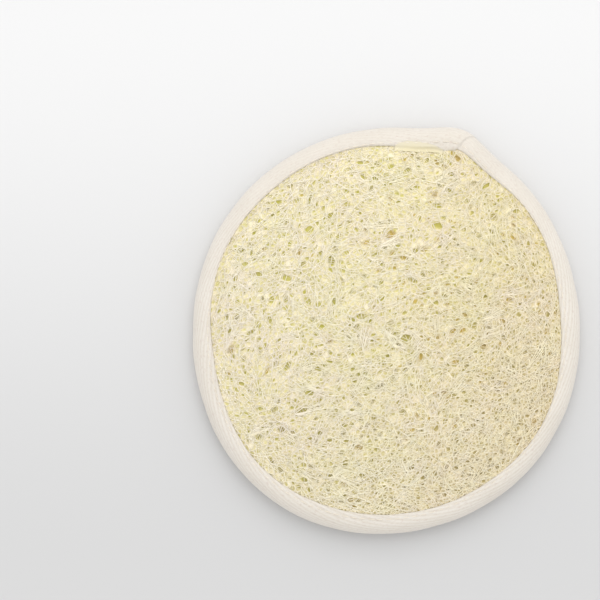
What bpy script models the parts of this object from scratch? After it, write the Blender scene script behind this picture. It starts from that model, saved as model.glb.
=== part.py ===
"""An oval bath scrub pad with a natural loofah face, lying with the loofah up.

A slab of flattened loofah lies on a terry cloth back. A cotton tape is folded
over the rim of both and sewn through, and a flat cotton strap runs across the
back for the hand. The pad is dished, so the rim rests and the strap stands free
of the back. Metres, +Z up. The origin lies under the middle of the pad, on the
plane that the rim rests on. +X runs along the strap, and the lapped end of the
tape is near +Y.

A place near the rim is given as its depth, the distance inward from the outline,
and its height above that plane.
"""

import math
import random

import bmesh
import bpy
from mathutils import Vector, noise
from mathutils.geometry import delaunay_2d_cdt

FULL_TURN = 2.0 * math.pi

# Outline of the pad: its mean radius, the slow waves that make it a hand-sewn
# oval, a little longer than wide, and its soft corner at the lap. Each wave is
# its count in a full turn, its cosine part and its sine part.
OUTLINE_RADIUS = 0.0688
OUTLINE_WAVES = (
    (1, -0.0002, 0.0),
    (2, -0.0016, 0.0006),
    (3, 0.0, -0.0002),
    (4, -0.0003, -0.0003),
)
CORNER_RISE = 0.0036
CORNER_ANGLE = math.radians(69.25)
CORNER_SPREAD = math.radians(8.0)

# Gap that touching pieces keep
GAP = 0.0003

# Tape folded over the rim
TAPE_THICKNESS = 0.0010
RIM_HEIGHT = 0.0115
SHOULDER_DEPTH = 0.00575
HEEL_RADIUS = 0.0035
FRONT_EDGE_DEPTH = 0.0064
BACK_EDGE_DEPTH = 0.0090
TAPE_STATIONS = 72
STATION_CROWDING = 0.55

# Seam groove in the back of the tape
GROOVE_DEPTH = 0.00685
GROOVE_HALF_WIDTH = 0.00040
GROOVE_SLOPE = 0.00025
GROOVE_HEIGHT = 0.0009

# Lapped end of the tape: its line crosses the tape at a slant, and it is pulled
# flatter the lower it lies on the rim
LAP_THICKNESS = 0.0007
LAP_FULL = math.radians(6.0)
LAP_FADED = math.radians(17.0)
LAP_STEP = math.radians(0.35)
LAP_SLANT = math.radians(9.0)
LAP_SLANT_REACH = math.radians(15.0)

# Seam thread, drawn with fewer and thicker stitches than the real seam
THREAD_RADIUS = 0.0002
STITCH_HUMP = 0.00012
FRONT_SEAM_DEPTH = 0.0053
FRONT_SEAM_ALONG = 0.045
BACK_SEAM_ALONG = 0.86

# Dome of the pad: heights fall from the middle to the rim by one power law
DOME_POWER = 2.6

# Terry back
TERRY_RIM_HEIGHT = 0.0022
TERRY_CROWN_HEIGHT = 0.0106
TERRY_RIM_THICKNESS = 0.0013
TERRY_CROWN_THICKNESS = 0.0024
DISH_EDGE_DEPTH = 0.0095
SHEET_DEPTHS = (0.0024, 0.0095, 0.0140, 0.0200, 0.0280, 0.0380, 0.0500)
SHEET_SEGMENTS = 48

# Strap across the back
STRAP_WIDTH = 0.0250
STRAP_THICKNESS = 0.0010
STRAP_HALF_LENGTH = 0.0610
STRAP_TUCK = 0.0040
STRAP_OFFSET = 0.0040
STRAP_END_HEIGHT = 0.0022
STRAP_SAG = 0.0015
STRAP_STATIONS = 24
STRAP_CLEARANCE_START = 0.0240
STRAP_CLEARANCE_END = 0.0160
STRAP_CLEARANCE_DEPTH = 0.0140

# Loofah slab and its raised net
NET_EDGE_DEPTH = 0.0069
NET_RIM_HEIGHT = 0.0102
NET_CROWN_HEIGHT = 0.0207
SHOULDER_RINGS = ((0.0056, 0.01015), (0.0039, 0.0093))
CELL_COUNT = 500
CELL_JITTER = 0.34
CELL_FLOOR_SCALE = (0.58, 0.74)
CELL_FLOOR_DROP = (0.0015, 0.0027)
NET_EDGE_FADE = 0.16
NET_RELIEF = 0.0005
RELIEF_SCALE = 260.0
STRAND_COUNT = 30
STRAND_HALF_WIDTH = 0.0016
STRAND_RISE = 0.0006
STRAND_BOW = 5.0
WELD_DISTANCE = 0.0007
NET_SEED = 11


def clear_scene():
    """Remove what the scene holds."""
    for item in list(bpy.data.objects):
        bpy.data.objects.remove(item, do_unlink=True)


def smooth_step(start, end, value):
    """0 at start, 1 at end, with an eased change between them."""
    part = min(max((value - start) / (end - start), 0.0), 1.0)
    return part * part * (3.0 - 2.0 * part)


def wrapped(angle):
    """The same angle between minus half a turn and half a turn."""
    return (angle + math.pi) % FULL_TURN - math.pi


def outline_radius(angle):
    """Distance from the middle to the outline."""
    turn = wrapped(angle - CORNER_ANGLE)
    radius = OUTLINE_RADIUS + CORNER_RISE * math.exp(-(turn / CORNER_SPREAD) ** 2)
    for count, cosine, sine in OUTLINE_WAVES:
        radius += cosine * math.cos(count * angle) + sine * math.sin(count * angle)
    return radius


def rim_point(angle, depth, height):
    """The point at a depth inward from the outline, at a height."""
    radius = outline_radius(angle) - depth
    return Vector((radius * math.cos(angle), radius * math.sin(angle), height))


def dome(fraction):
    """1 in the middle of a dome and 0 at its edge."""
    return 1.0 - min(fraction, 1.0) ** DOME_POWER


def dome_at(angle, depth, edge_depth):
    """Value of a dome whose edge lies at edge_depth."""
    outline = outline_radius(angle)
    return dome((outline - depth) / (outline - edge_depth))


def terry_bottom(angle, depth):
    """Height of the terry's underside, pressed up over the strap's ends."""
    rise = TERRY_CROWN_HEIGHT - TERRY_RIM_HEIGHT
    height = TERRY_RIM_HEIGHT + rise * dome_at(angle, depth, DISH_EDGE_DEPTH)
    across = abs(rim_point(angle, depth, 0.0).y - STRAP_OFFSET)
    over_strap = smooth_step(STRAP_CLEARANCE_START, STRAP_CLEARANCE_END, across)
    near_rim = smooth_step(STRAP_CLEARANCE_DEPTH, DISH_EDGE_DEPTH, depth)
    return height + (STRAP_THICKNESS + GAP) * over_strap * near_rim


def terry_top(angle, depth):
    """Height of the terry's upper side."""
    rise = TERRY_CROWN_THICKNESS - TERRY_RIM_THICKNESS
    thickness = TERRY_RIM_THICKNESS + rise * dome_at(angle, depth, DISH_EDGE_DEPTH)
    return terry_bottom(angle, depth) + thickness


def net_height(angle, depth):
    """Height of the loofah's face before its relief."""
    rise = NET_CROWN_HEIGHT - NET_RIM_HEIGHT
    return NET_RIM_HEIGHT + rise * dome_at(angle, depth, NET_EDGE_DEPTH)


def principled(name, colour, roughness):
    """A cloth or fibre material. colour is in display (sRGB) values."""
    linear = [value ** 2.2 for value in colour]
    material = bpy.data.materials.new(name)
    material.use_nodes = True
    shader = material.node_tree.nodes["Principled BSDF"]
    shader.inputs["Base Color"].default_value = (*linear, 1.0)
    shader.inputs["Roughness"].default_value = roughness
    shader.inputs["Metallic"].default_value = 0.0
    return material


def finish(name, mesh, material):
    """Turn a closed bmesh into a named object with its faces pointing out."""
    bmesh.ops.recalc_face_normals(mesh, faces=mesh.faces)
    data = bpy.data.meshes.new(name)
    mesh.to_mesh(data)
    mesh.free()
    data.materials.append(material)
    data.shade_smooth()
    data.set_sharp_from_angle(angle=math.radians(40.0))
    item = bpy.data.objects.new(name, data)
    bpy.context.collection.objects.link(item)
    return item


def bridge(mesh, lower, upper):
    """Join two closed rings of as many vertices with quads."""
    count = len(lower)
    for index in range(count):
        after = (index + 1) % count
        mesh.faces.new((lower[index], lower[after], upper[after], upper[index]))


def zip_rings(mesh, outer, inner):
    """Join two closed rings of unlike counts, each sorted by angle, with triangles."""
    def bearing(vertex):
        return math.atan2(vertex.co.y, vertex.co.x)

    outer_step = 0
    inner_step = 0
    while outer_step < len(outer) or inner_step < len(inner):
        outer_now = outer[outer_step % len(outer)]
        inner_now = inner[inner_step % len(inner)]
        outer_next = outer[(outer_step + 1) % len(outer)]
        inner_next = inner[(inner_step + 1) % len(inner)]
        outer_turn = bearing(outer_next) + FULL_TURN * (outer_step + 1 >= len(outer))
        inner_turn = bearing(inner_next) + FULL_TURN * (inner_step + 1 >= len(inner))
        outer_left = outer_step < len(outer)
        if outer_left and (outer_turn <= inner_turn or inner_step >= len(inner)):
            mesh.faces.new((outer_now, outer_next, inner_now))
            outer_step += 1
        else:
            mesh.faces.new((outer_now, inner_next, inner_now))
            inner_step += 1


def by_angle(vertices):
    """Vertices round the middle, in order of angle."""
    return sorted(vertices, key=lambda vertex: math.atan2(vertex.co.y, vertex.co.x))


def segment_angles(count):
    """Angles of count even stations, from just above minus half a turn."""
    return [FULL_TURN * (step + 0.5) / count - math.pi for step in range(count)]


def ring(mesh, depth, height_at):
    """A ring of vertices at one depth, its heights from a function."""
    return [
        mesh.verts.new(rim_point(angle, depth, height_at(angle, depth)))
        for angle in segment_angles(SHEET_SEGMENTS)
    ]


def sheet(mesh, depths, height_at):
    """A dished sheet of rings and a middle point. Returns its outermost ring."""
    rings = [ring(mesh, depth, height_at) for depth in depths]
    for outer, inner in zip(rings, rings[1:]):
        bridge(mesh, outer, inner)
    middle = mesh.verts.new((0.0, 0.0, height_at(0.0, outline_radius(0.0))))
    last = rings[-1]
    for index, vertex in enumerate(last):
        mesh.faces.new((vertex, last[(index + 1) % len(last)], middle))
    return rings[0]


def arc(centre, reach, start, end, steps):
    """Points of an elliptic arc in the section, turned from the top to the rim."""
    points = []
    for step in range(steps + 1):
        turn = start + (end - start) * step / steps
        depth = centre[0] - reach[0] * math.sin(turn)
        height = centre[1] + reach[1] * math.cos(turn)
        points.append((depth, height))
    return points


def tape_section():
    """Outer and inner faces of the folded tape, each from its front to its back edge."""
    quarter = 0.5 * math.pi
    shoulder = (SHOULDER_DEPTH, HEEL_RADIUS)
    heel = (HEEL_RADIUS, HEEL_RADIUS)
    rise = RIM_HEIGHT - HEEL_RADIUS
    foot = GROOVE_HALF_WIDTH + GROOVE_SLOPE
    outer = [(FRONT_EDGE_DEPTH, RIM_HEIGHT)]
    outer += arc(shoulder, (SHOULDER_DEPTH, rise), 0.0, quarter, 4)
    outer += arc(heel, (HEEL_RADIUS, HEEL_RADIUS), quarter, 2.0 * quarter, 3)[1:]
    outer += [
        (GROOVE_DEPTH - foot, 0.0),
        (GROOVE_DEPTH - GROOVE_HALF_WIDTH, GROOVE_HEIGHT),
        (GROOVE_DEPTH + GROOVE_HALF_WIDTH, GROOVE_HEIGHT),
        (GROOVE_DEPTH + foot, 0.0),
        (BACK_EDGE_DEPTH, 0.0),
    ]
    inner_shoulder = (SHOULDER_DEPTH - TAPE_THICKNESS, rise - TAPE_THICKNESS)
    inner_heel = HEEL_RADIUS - TAPE_THICKNESS
    inner = [(FRONT_EDGE_DEPTH, RIM_HEIGHT - TAPE_THICKNESS)]
    inner += arc(shoulder, inner_shoulder, 0.0, quarter, 3)
    inner += arc(heel, (inner_heel, inner_heel), quarter, 2.0 * quarter, 2)[1:]
    inner += [
        (GROOVE_DEPTH - foot - GROOVE_SLOPE, TAPE_THICKNESS),
        (GROOVE_DEPTH - foot, GROOVE_HEIGHT + TAPE_THICKNESS),
        (GROOVE_DEPTH + foot, GROOVE_HEIGHT + TAPE_THICKNESS),
        (GROOVE_DEPTH + foot + GROOVE_SLOPE, TAPE_THICKNESS),
        (BACK_EDGE_DEPTH, TAPE_THICKNESS),
    ]
    return outer, inner


def section_lengths(points):
    """Length along a section up to each of its points, from 0 to 1."""
    lengths = [0.0]
    for before, after in zip(points, points[1:]):
        lengths.append(lengths[-1] + math.dist(before, after))
    return [length / lengths[-1] for length in lengths]


def section_normals(points):
    """Outward directions of a section that runs from the front edge to the back."""
    normals = []
    for index in range(len(points)):
        before = points[max(index - 1, 0)]
        after = points[min(index + 1, len(points) - 1)]
        run = (after[0] - before[0], after[1] - before[1])
        size = math.hypot(*run)
        normals.append((run[1] / size, -run[0] / size))
    return normals


def lap_thickness(turn):
    """Extra thickness of the tape where its end laps over its start."""
    return LAP_THICKNESS * (1.0 - smooth_step(LAP_FULL, LAP_FADED, turn))


def slanted(station, along):
    """Angle of a section point: the sections lean where the tape's end crosses."""
    turn = wrapped(station - CORNER_ANGLE)
    return station - LAP_SLANT * along * math.exp(-(turn / LAP_SLANT_REACH) ** 2)


def tape_stations():
    """Angle and lap of each section, from the tape's end round to its start.

    The sections crowd together towards the corner, where the end laps the start.
    """
    stations = []
    for index in range(TAPE_STATIONS):
        part = index / (TAPE_STATIONS - 1)
        part -= STATION_CROWDING * math.sin(FULL_TURN * part) / FULL_TURN
        turn = LAP_STEP + (FULL_TURN - LAP_STEP) * part
        stations.append((CORNER_ANGLE + turn, lap_thickness(turn)))
    return stations


def build_binding(material):
    """The tape round the rim, one closed ring with a step at its lapped end."""
    outer, inner = tape_section()
    outer_rows = list(zip(outer, section_lengths(outer), section_normals(outer)))
    inner_rows = list(zip(inner, section_lengths(inner)))
    mesh = bmesh.new()
    rings = []
    for station, lap in tape_stations():
        loop = []
        for (depth, height), along, normal in outer_rows:
            proud = lap * height / RIM_HEIGHT
            place = rim_point(
                slanted(station, along),
                depth + normal[0] * proud,
                height + normal[1] * proud,
            )
            loop.append(mesh.verts.new(place))
        for (depth, height), along in reversed(inner_rows):
            loop.append(mesh.verts.new(rim_point(slanted(station, along), depth, height)))
        rings.append(loop)
    for before, after in zip(rings, rings[1:] + rings[:1]):
        bridge(mesh, before, after)
    return finish("edge_binding", mesh, material)


def build_seam(name, material, depth, height, along, hump, follows_lap):
    """A row of the seam's thread: a thin closed ring that humps between sections.

    along is where the row lies across the tape, from 0 at its front edge to 1 at
    its back edge, so that the row bends at the same angles as the tape's sections.
    """
    stations = tape_stations()
    mesh = bmesh.new()
    places = []
    for index, (station, lap) in enumerate(stations):
        lift = max(lap, stations[index - 1][1], stations[(index + 1) % TAPE_STATIONS][1])
        place = rim_point(slanted(station, along), depth, height)
        place.z += lift if follows_lap else 0.0
        places.append(place)
    rings = []
    for place, after in zip(places, places[1:] + places[:1]):
        for middle in (place, 0.5 * (place + after) + Vector((0.0, 0.0, hump))):
            outward = Vector((middle.x, middle.y, 0.0)).normalized()
            loop = []
            for corner in range(3):
                roll = FULL_TURN * corner / 3.0
                point = middle + THREAD_RADIUS * math.cos(roll) * outward
                point.z += THREAD_RADIUS * math.sin(roll)
                loop.append(mesh.verts.new(point))
            rings.append(loop)
    for before, after in zip(rings, rings[1:] + rings[:1]):
        bridge(mesh, before, after)
    return finish(name, mesh, material)


def build_terry(material):
    """The terry cloth back, a dished sheet with a closed edge."""
    mesh = bmesh.new()
    bottom = sheet(mesh, SHEET_DEPTHS, terry_bottom)
    top = sheet(mesh, SHEET_DEPTHS, terry_top)
    bridge(mesh, bottom, top)
    return finish("terry_back", mesh, material)


def build_strap(material):
    """The strap across the back, its ends tucked flat and its middle sagging."""
    flat_half = STRAP_HALF_LENGTH - STRAP_TUCK
    mesh = bmesh.new()
    rings = []
    for step in range(STRAP_STATIONS + 1):
        along = STRAP_HALF_LENGTH * (2.0 * step / STRAP_STATIONS - 1.0)
        reach = min(abs(along) / flat_half, 1.0)
        height = STRAP_END_HEIGHT - STRAP_SAG * (1.0 - reach * reach)
        loop = []
        for across, above in ((-0.5, 0.0), (0.5, 0.0), (0.5, 1.0), (-0.5, 1.0)):
            loop.append(mesh.verts.new((
                along,
                STRAP_OFFSET + across * STRAP_WIDTH,
                height + above * STRAP_THICKNESS,
            )))
        rings.append(loop)
    for before, after in zip(rings, rings[1:]):
        bridge(mesh, before, after)
    mesh.faces.new(rings[0])
    mesh.faces.new(rings[-1])
    return finish("hand_strap", mesh, material)


def cell_centres(draw):
    """Centres of the net's cells in a unit disc: an even spiral, shaken a little."""
    golden = math.pi * (3.0 - math.sqrt(5.0))
    spacing = math.sqrt(math.pi / CELL_COUNT)
    centres = []
    for index in range(CELL_COUNT):
        radius = math.sqrt((index + 0.5) / CELL_COUNT)
        angle = index * golden
        shake = Vector((draw.uniform(-1.0, 1.0), draw.uniform(-1.0, 1.0)))
        centre = Vector((radius * math.cos(angle), radius * math.sin(angle)))
        centre += shake * CELL_JITTER * spacing
        longest = 1.0 - 0.35 * spacing
        if centre.length > longest:
            centre *= longest / centre.length
        centres.append(centre)
    return centres


def circumcentre(first, second, third):
    """Point as far from each of three points."""
    side = second - first
    other = third - first
    area = 2.0 * side.cross(other)
    x = (other.y * side.length_squared - side.y * other.length_squared) / area
    y = (side.x * other.length_squared - other.x * side.length_squared) / area
    return first + Vector((x, y))


def net_cells(draw):
    """Corners of the net in the unit disc, and each cell's ring of corners.

    The centres are mirrored outside the disc, so that cells end on its edge.
    """
    centres = cell_centres(draw)
    mirrored = [centre * (2.0 / centre.length - 1.0) for centre in centres if centre.length > 0.7]
    points = centres + mirrored
    triangles = delaunay_2d_cdt(points, [], [], 0, 1e-9)[2]
    weld = WELD_DISTANCE / OUTLINE_RADIUS
    corners = []
    rings = [[] for _ in centres]
    for triangle in triangles:
        if min(triangle) >= CELL_COUNT:
            continue
        corner = circumcentre(*(points[index] for index in triangle))
        for index, known in enumerate(corners):
            if (known - corner).length < weld:
                break
        else:
            index = len(corners)
            corners.append(corner)
        for owner in triangle:
            if owner < CELL_COUNT and index not in rings[owner]:
                rings[owner].append(index)
    for centre, cell in zip(centres, rings):
        cell.sort(key=lambda index: math.atan2(*(corners[index] - centre).yx))
    return corners, rings


def strand_lines(draw):
    """Long strands that cross the net, each a heading, an offset and a bow."""
    reach = OUTLINE_RADIUS - NET_EDGE_DEPTH
    return [
        (
            draw.uniform(0.0, math.pi),
            draw.uniform(-0.85, 0.85) * reach,
            draw.uniform(-STRAND_BOW, STRAND_BOW),
        )
        for _ in range(STRAND_COUNT)
    ]


def strand_rise(strands, place):
    """How far the strands lift the net at a place."""
    rise = 0.0
    for heading, offset, bow in strands:
        along = place.x * math.cos(heading) + place.y * math.sin(heading)
        across = place.y * math.cos(heading) - place.x * math.sin(heading)
        away = abs(across - offset - bow * along * along)
        rise = max(rise, 1.0 - away / STRAND_HALF_WIDTH)
    return STRAND_RISE * rise


def build_loofah(material):
    """The loofah slab: a raised net of cells on top, a shoulder and a dished back."""
    draw = random.Random(NET_SEED)
    corners, cells = net_cells(draw)
    strands = strand_lines(draw)
    mesh = bmesh.new()

    def net_place(corner, drop):
        """The point of the net over a place in the unit disc, lowered by drop."""
        angle = math.atan2(corner.y, corner.x)
        outline = outline_radius(angle)
        radius = corner.length * (outline - NET_EDGE_DEPTH)
        depth = outline - radius
        place = rim_point(angle, depth, net_height(angle, depth))
        inside = smooth_step(0.0, NET_EDGE_FADE, 1.0 - corner.length)
        if drop:
            place.z -= drop * (0.35 + 0.65 * inside)
        else:
            grain = noise.noise(place * RELIEF_SCALE)
            place.z += inside * (NET_RELIEF * grain + strand_rise(strands, place))
        return place

    crest = [mesh.verts.new(net_place(corner, 0.0)) for corner in corners]
    for cell in cells:
        middle = sum((corners[index] for index in cell), Vector((0.0, 0.0))) / len(cell)
        scale = draw.uniform(*CELL_FLOOR_SCALE)
        drop = draw.uniform(*CELL_FLOOR_DROP)
        floor = []
        for index in cell:
            corner = middle.lerp(corners[index], scale)
            floor.append(mesh.verts.new(net_place(corner, drop)))
        bridge(mesh, [crest[index] for index in cell], floor)
        mesh.faces.new(floor)

    border = {vertex for edge in mesh.edges if edge.is_boundary for vertex in edge.verts}
    net_edge = by_angle(border)
    shoulders = [
        ring(mesh, depth, lambda angle, depth, height=height: height)
        for depth, height in SHOULDER_RINGS
    ]
    bottom = sheet(mesh, SHEET_DEPTHS, lambda angle, depth: terry_top(angle, depth) + GAP)
    zip_rings(mesh, shoulders[0], net_edge)
    bridge(mesh, shoulders[1], shoulders[0])
    bridge(mesh, bottom, shoulders[1])
    return finish("loofah_face", mesh, material)


def main():
    """Build every piece of the pad."""
    clear_scene()
    loofah = principled("loofah", (0.910, 0.855, 0.695), 0.75)
    terry = principled("terry", (0.950, 0.918, 0.847), 0.95)
    tape = principled("tape", (0.930, 0.898, 0.850), 0.90)
    thread = principled("thread", (0.940, 0.910, 0.850), 0.80)

    build_loofah(loofah)
    build_terry(terry)
    build_binding(tape)
    build_strap(tape)
    front_height = RIM_HEIGHT + GAP + THREAD_RADIUS
    build_seam(
        "front_stitching", thread, FRONT_SEAM_DEPTH, front_height,
        FRONT_SEAM_ALONG, STITCH_HUMP, True,
    )
    back_height = GROOVE_HEIGHT - GAP - THREAD_RADIUS
    build_seam(
        "back_stitching", thread, GROOVE_DEPTH, back_height,
        BACK_SEAM_ALONG, -STITCH_HUMP, False,
    )


main()
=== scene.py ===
import logging
import math
from collections.abc import Iterator
from dataclasses import dataclass, field
from enum import Enum

import bpy
import numpy as np
from mathutils.geometry import delaunay_2d_cdt
from mathutils.kdtree import KDTree
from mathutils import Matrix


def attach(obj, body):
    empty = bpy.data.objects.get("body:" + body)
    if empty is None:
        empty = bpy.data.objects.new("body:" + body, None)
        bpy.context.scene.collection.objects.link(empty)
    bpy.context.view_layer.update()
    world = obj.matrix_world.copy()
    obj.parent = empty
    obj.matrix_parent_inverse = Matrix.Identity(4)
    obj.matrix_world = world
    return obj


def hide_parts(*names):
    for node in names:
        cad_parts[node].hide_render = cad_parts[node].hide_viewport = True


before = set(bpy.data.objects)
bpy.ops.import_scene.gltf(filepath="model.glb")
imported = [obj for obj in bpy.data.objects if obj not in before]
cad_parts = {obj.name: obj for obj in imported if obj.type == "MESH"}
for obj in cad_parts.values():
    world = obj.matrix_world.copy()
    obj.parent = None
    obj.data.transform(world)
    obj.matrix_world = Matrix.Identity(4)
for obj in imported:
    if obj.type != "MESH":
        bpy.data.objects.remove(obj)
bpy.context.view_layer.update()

LOG = logging.getLogger("loofah_pad")
MM = 0.001
FULL_TURN = 2.0 * math.pi
UV_WEAVE = "weave"
UV_BAKE = "OFBake"
WHITE = (1.0, 1.0, 1.0)
BLACK = (0.0, 0.0, 0.0)

Array = np.ndarray
Socket = bpy.types.NodeSocket
Piece = bpy.types.Object
Material = bpy.types.Material


class Slot(Enum):
    """Material slots of the pad's record."""

    LOOFAH = "loofah"
    TERRY = "terry"
    TAPE = "tape"
    THREAD = "thread"


class Row(Enum):
    """The two rows of thread that one seam shows."""

    FRONT = "front"
    BACK = "back"


def smooth_step(start: float, end: float, value: Array) -> Array:
    """Ease from 0 to 1.

    Args:
        start: value that gives 0.
        end: value that gives 1.
        value: values to ease.

    Returns:
        The eased values.
    """
    part = np.clip((value - start) / (end - start), 0.0, 1.0)
    return part * part * (3.0 - 2.0 * part)


def joined(*parts: Array) -> Array:
    """Put numbers of one shape side by side, along a new last axis."""
    return np.stack(parts, axis=-1)


def wrapped(angle: Array) -> Array:
    """Bring angles between minus half a turn and half a turn."""
    return (angle + math.pi) % FULL_TURN - math.pi


def deselect_all() -> None:
    """Leave nothing selected and nothing in edit mode."""
    if bpy.context.object and bpy.context.object.mode != "OBJECT":
        bpy.ops.object.mode_set(mode="OBJECT")
    bpy.ops.object.select_all(action="DESELECT")


def select_only(item: Piece) -> None:
    """Select one object alone and make it the active one."""
    deselect_all()
    item.select_set(True)
    bpy.context.view_layer.objects.active = item


def apply_place(item: Piece) -> None:
    """Put an object's place, turn and scale into its mesh."""
    select_only(item)
    bpy.ops.object.transform_apply(location=True, rotation=True, scale=True)


def apply_modifier(item: Piece, kind: str, **settings: object) -> None:
    """Add a modifier to an object and apply it.

    Args:
        item: the object.
        kind: Blender's name for the modifier.
        settings: the modifier's settings by name.
    """
    modifier = item.modifiers.new(kind.lower(), kind)
    for key, value in settings.items():
        setattr(modifier, key, value)
    select_only(item)
    bpy.ops.object.modifier_apply(modifier=modifier.name)


def new_grid(name: str, along: int, across: int, size: float) -> Piece:
    """Add a flat square grid that has no UV map yet.

    Args:
        name: the object's name.
        along: cells along X.
        across: cells along Y.
        size: length of its sides.

    Returns:
        The grid.
    """
    deselect_all()
    bpy.ops.mesh.primitive_grid_add(x_subdivisions=along, y_subdivisions=across, size=size)
    item = bpy.context.object
    item.name = item.data.name = name
    item.data.uv_layers.remove(item.data.uv_layers[0])
    return item


def mesh_points(item: Piece) -> Array:
    """Read an object's vertices as rows of x, y, z.

    Args:
        item: the object.

    Returns:
        The rows.
    """
    values = np.empty(len(item.data.vertices) * 3)
    item.data.vertices.foreach_get("co", values)
    return values.reshape(-1, 3)


def set_points(item: Piece, points: Array) -> None:
    """Write an object's vertices from rows of x, y, z."""
    item.data.vertices.foreach_set("co", np.asarray(points, float).ravel())
    item.data.update()


def mesh_from_faces(name: str, points: Array, faces: list[Array]) -> Piece:
    """Make an object from points and faces.

    Args:
        name: the object's name.
        points: rows of x, y, z.
        faces: arrays of face rows; each array has faces of one size.

    Returns:
        The new object, smooth shaded.
    """
    data = bpy.data.meshes.new(name)
    corners = np.concatenate([block.ravel() for block in faces]).astype(np.int32)
    sizes = np.concatenate([np.full(len(block), block.shape[1]) for block in faces])
    starts = np.concatenate([[0], np.cumsum(sizes)[:-1]]).astype(np.int32)
    data.vertices.add(len(points))
    data.vertices.foreach_set("co", np.asarray(points, np.float32).ravel())
    data.loops.add(len(corners))
    data.loops.foreach_set("vertex_index", corners)
    data.polygons.add(len(starts))
    data.polygons.foreach_set("loop_start", starts)
    data.update(calc_edges=True)
    data.shade_smooth()
    item = bpy.data.objects.new(name, data)
    bpy.context.collection.objects.link(item)
    return item


def put_attribute(item: Piece, name: str, values: Array) -> None:
    """Store one number for each vertex."""
    layer = item.data.attributes.new(name, "FLOAT", "POINT")
    layer.data.foreach_set("value", np.asarray(values, np.float32).ravel())


def put_map(item: Piece, name: str, places: Array) -> None:
    """Store a UV map from one place for each vertex.

    Args:
        item: the piece.
        name: the map's name.
        places: each vertex's place on the map.
    """
    layer = item.data.uv_layers.new(name=name)
    corners = np.empty(len(item.data.loops), np.int32)
    item.data.loops.foreach_get("vertex_index", corners)
    layer.data.foreach_set("uv", np.asarray(places, np.float32)[corners].ravel())


def dress(item: Piece, material: Material, slot: Slot, *nodes: str) -> None:
    """Finish a piece: its material, its body and what it stands for.

    Args:
        item: the finished piece.
        material: its material.
        slot: not used.
        nodes: CAD nodes that the piece replaces.
    """
    item.data.materials.clear()
    item.data.materials.append(material)
    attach(item, "root")
    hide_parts(*nodes)
    item.data.calc_loop_triangles()
    LOG.info("%s: %d triangles", item.name, len(item.data.loop_triangles))


def ring_faces(rings: int, around: int, closed: bool) -> Array:
    """Quads of a grid of closed rings.

    Args:
        rings: how many rings there are.
        around: vertices in a ring.
        closed: whether the last ring joins the first.

    Returns:
        Rows of four vertex numbers.
    """
    first = np.arange(rings if closed else rings - 1)[:, None]
    step = np.arange(around)[None, :]
    after = (step + 1) % around
    upper = (first + 1) % rings
    near, far = first * around, upper * around
    return joined(near + step, far + step, far + after, near + after).reshape(-1, 4)


@dataclass(frozen=True)
class SmoothNoise:
    """Seeded smooth noise over a plane, between about minus 1 and 1.

    Attributes:
        seed: the seed of its values.
        cell: the size of its bumps.
        half: how far it reaches from the origin before it repeats.
    """

    seed: int
    cell: float
    half: float = 0.08
    values: Array = field(init=False, repr=False, compare=False)

    def __post_init__(self) -> None:
        """Draw the values."""
        count = int(2.0 * self.half / self.cell) + 4
        draw = np.random.default_rng(self.seed)
        object.__setattr__(self, "values", draw.uniform(-1.0, 1.0, (count, count)))

    def at(self, x: Array, y: Array) -> Array:
        """Read the noise.

        Args:
            x: places' x.
            y: places' y.

        Returns:
            The noise at the places.
        """
        count = len(self.values)
        across = (x + self.half) / self.cell
        along = (y + self.half) / self.cell
        left = np.floor(across).astype(int)
        low = np.floor(along).astype(int)
        part_x = across - left
        part_y = along - low
        part_x = part_x * part_x * (3.0 - 2.0 * part_x)
        part_y = part_y * part_y * (3.0 - 2.0 * part_y)
        grid = self.values
        first = grid[left % count, low % count]
        second = grid[(left + 1) % count, low % count]
        third = grid[left % count, (low + 1) % count]
        fourth = grid[(left + 1) % count, (low + 1) % count]
        lower = first + (second - first) * part_x
        upper = third + (fourth - third) * part_x
        return lower + (upper - lower) * part_y


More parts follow.
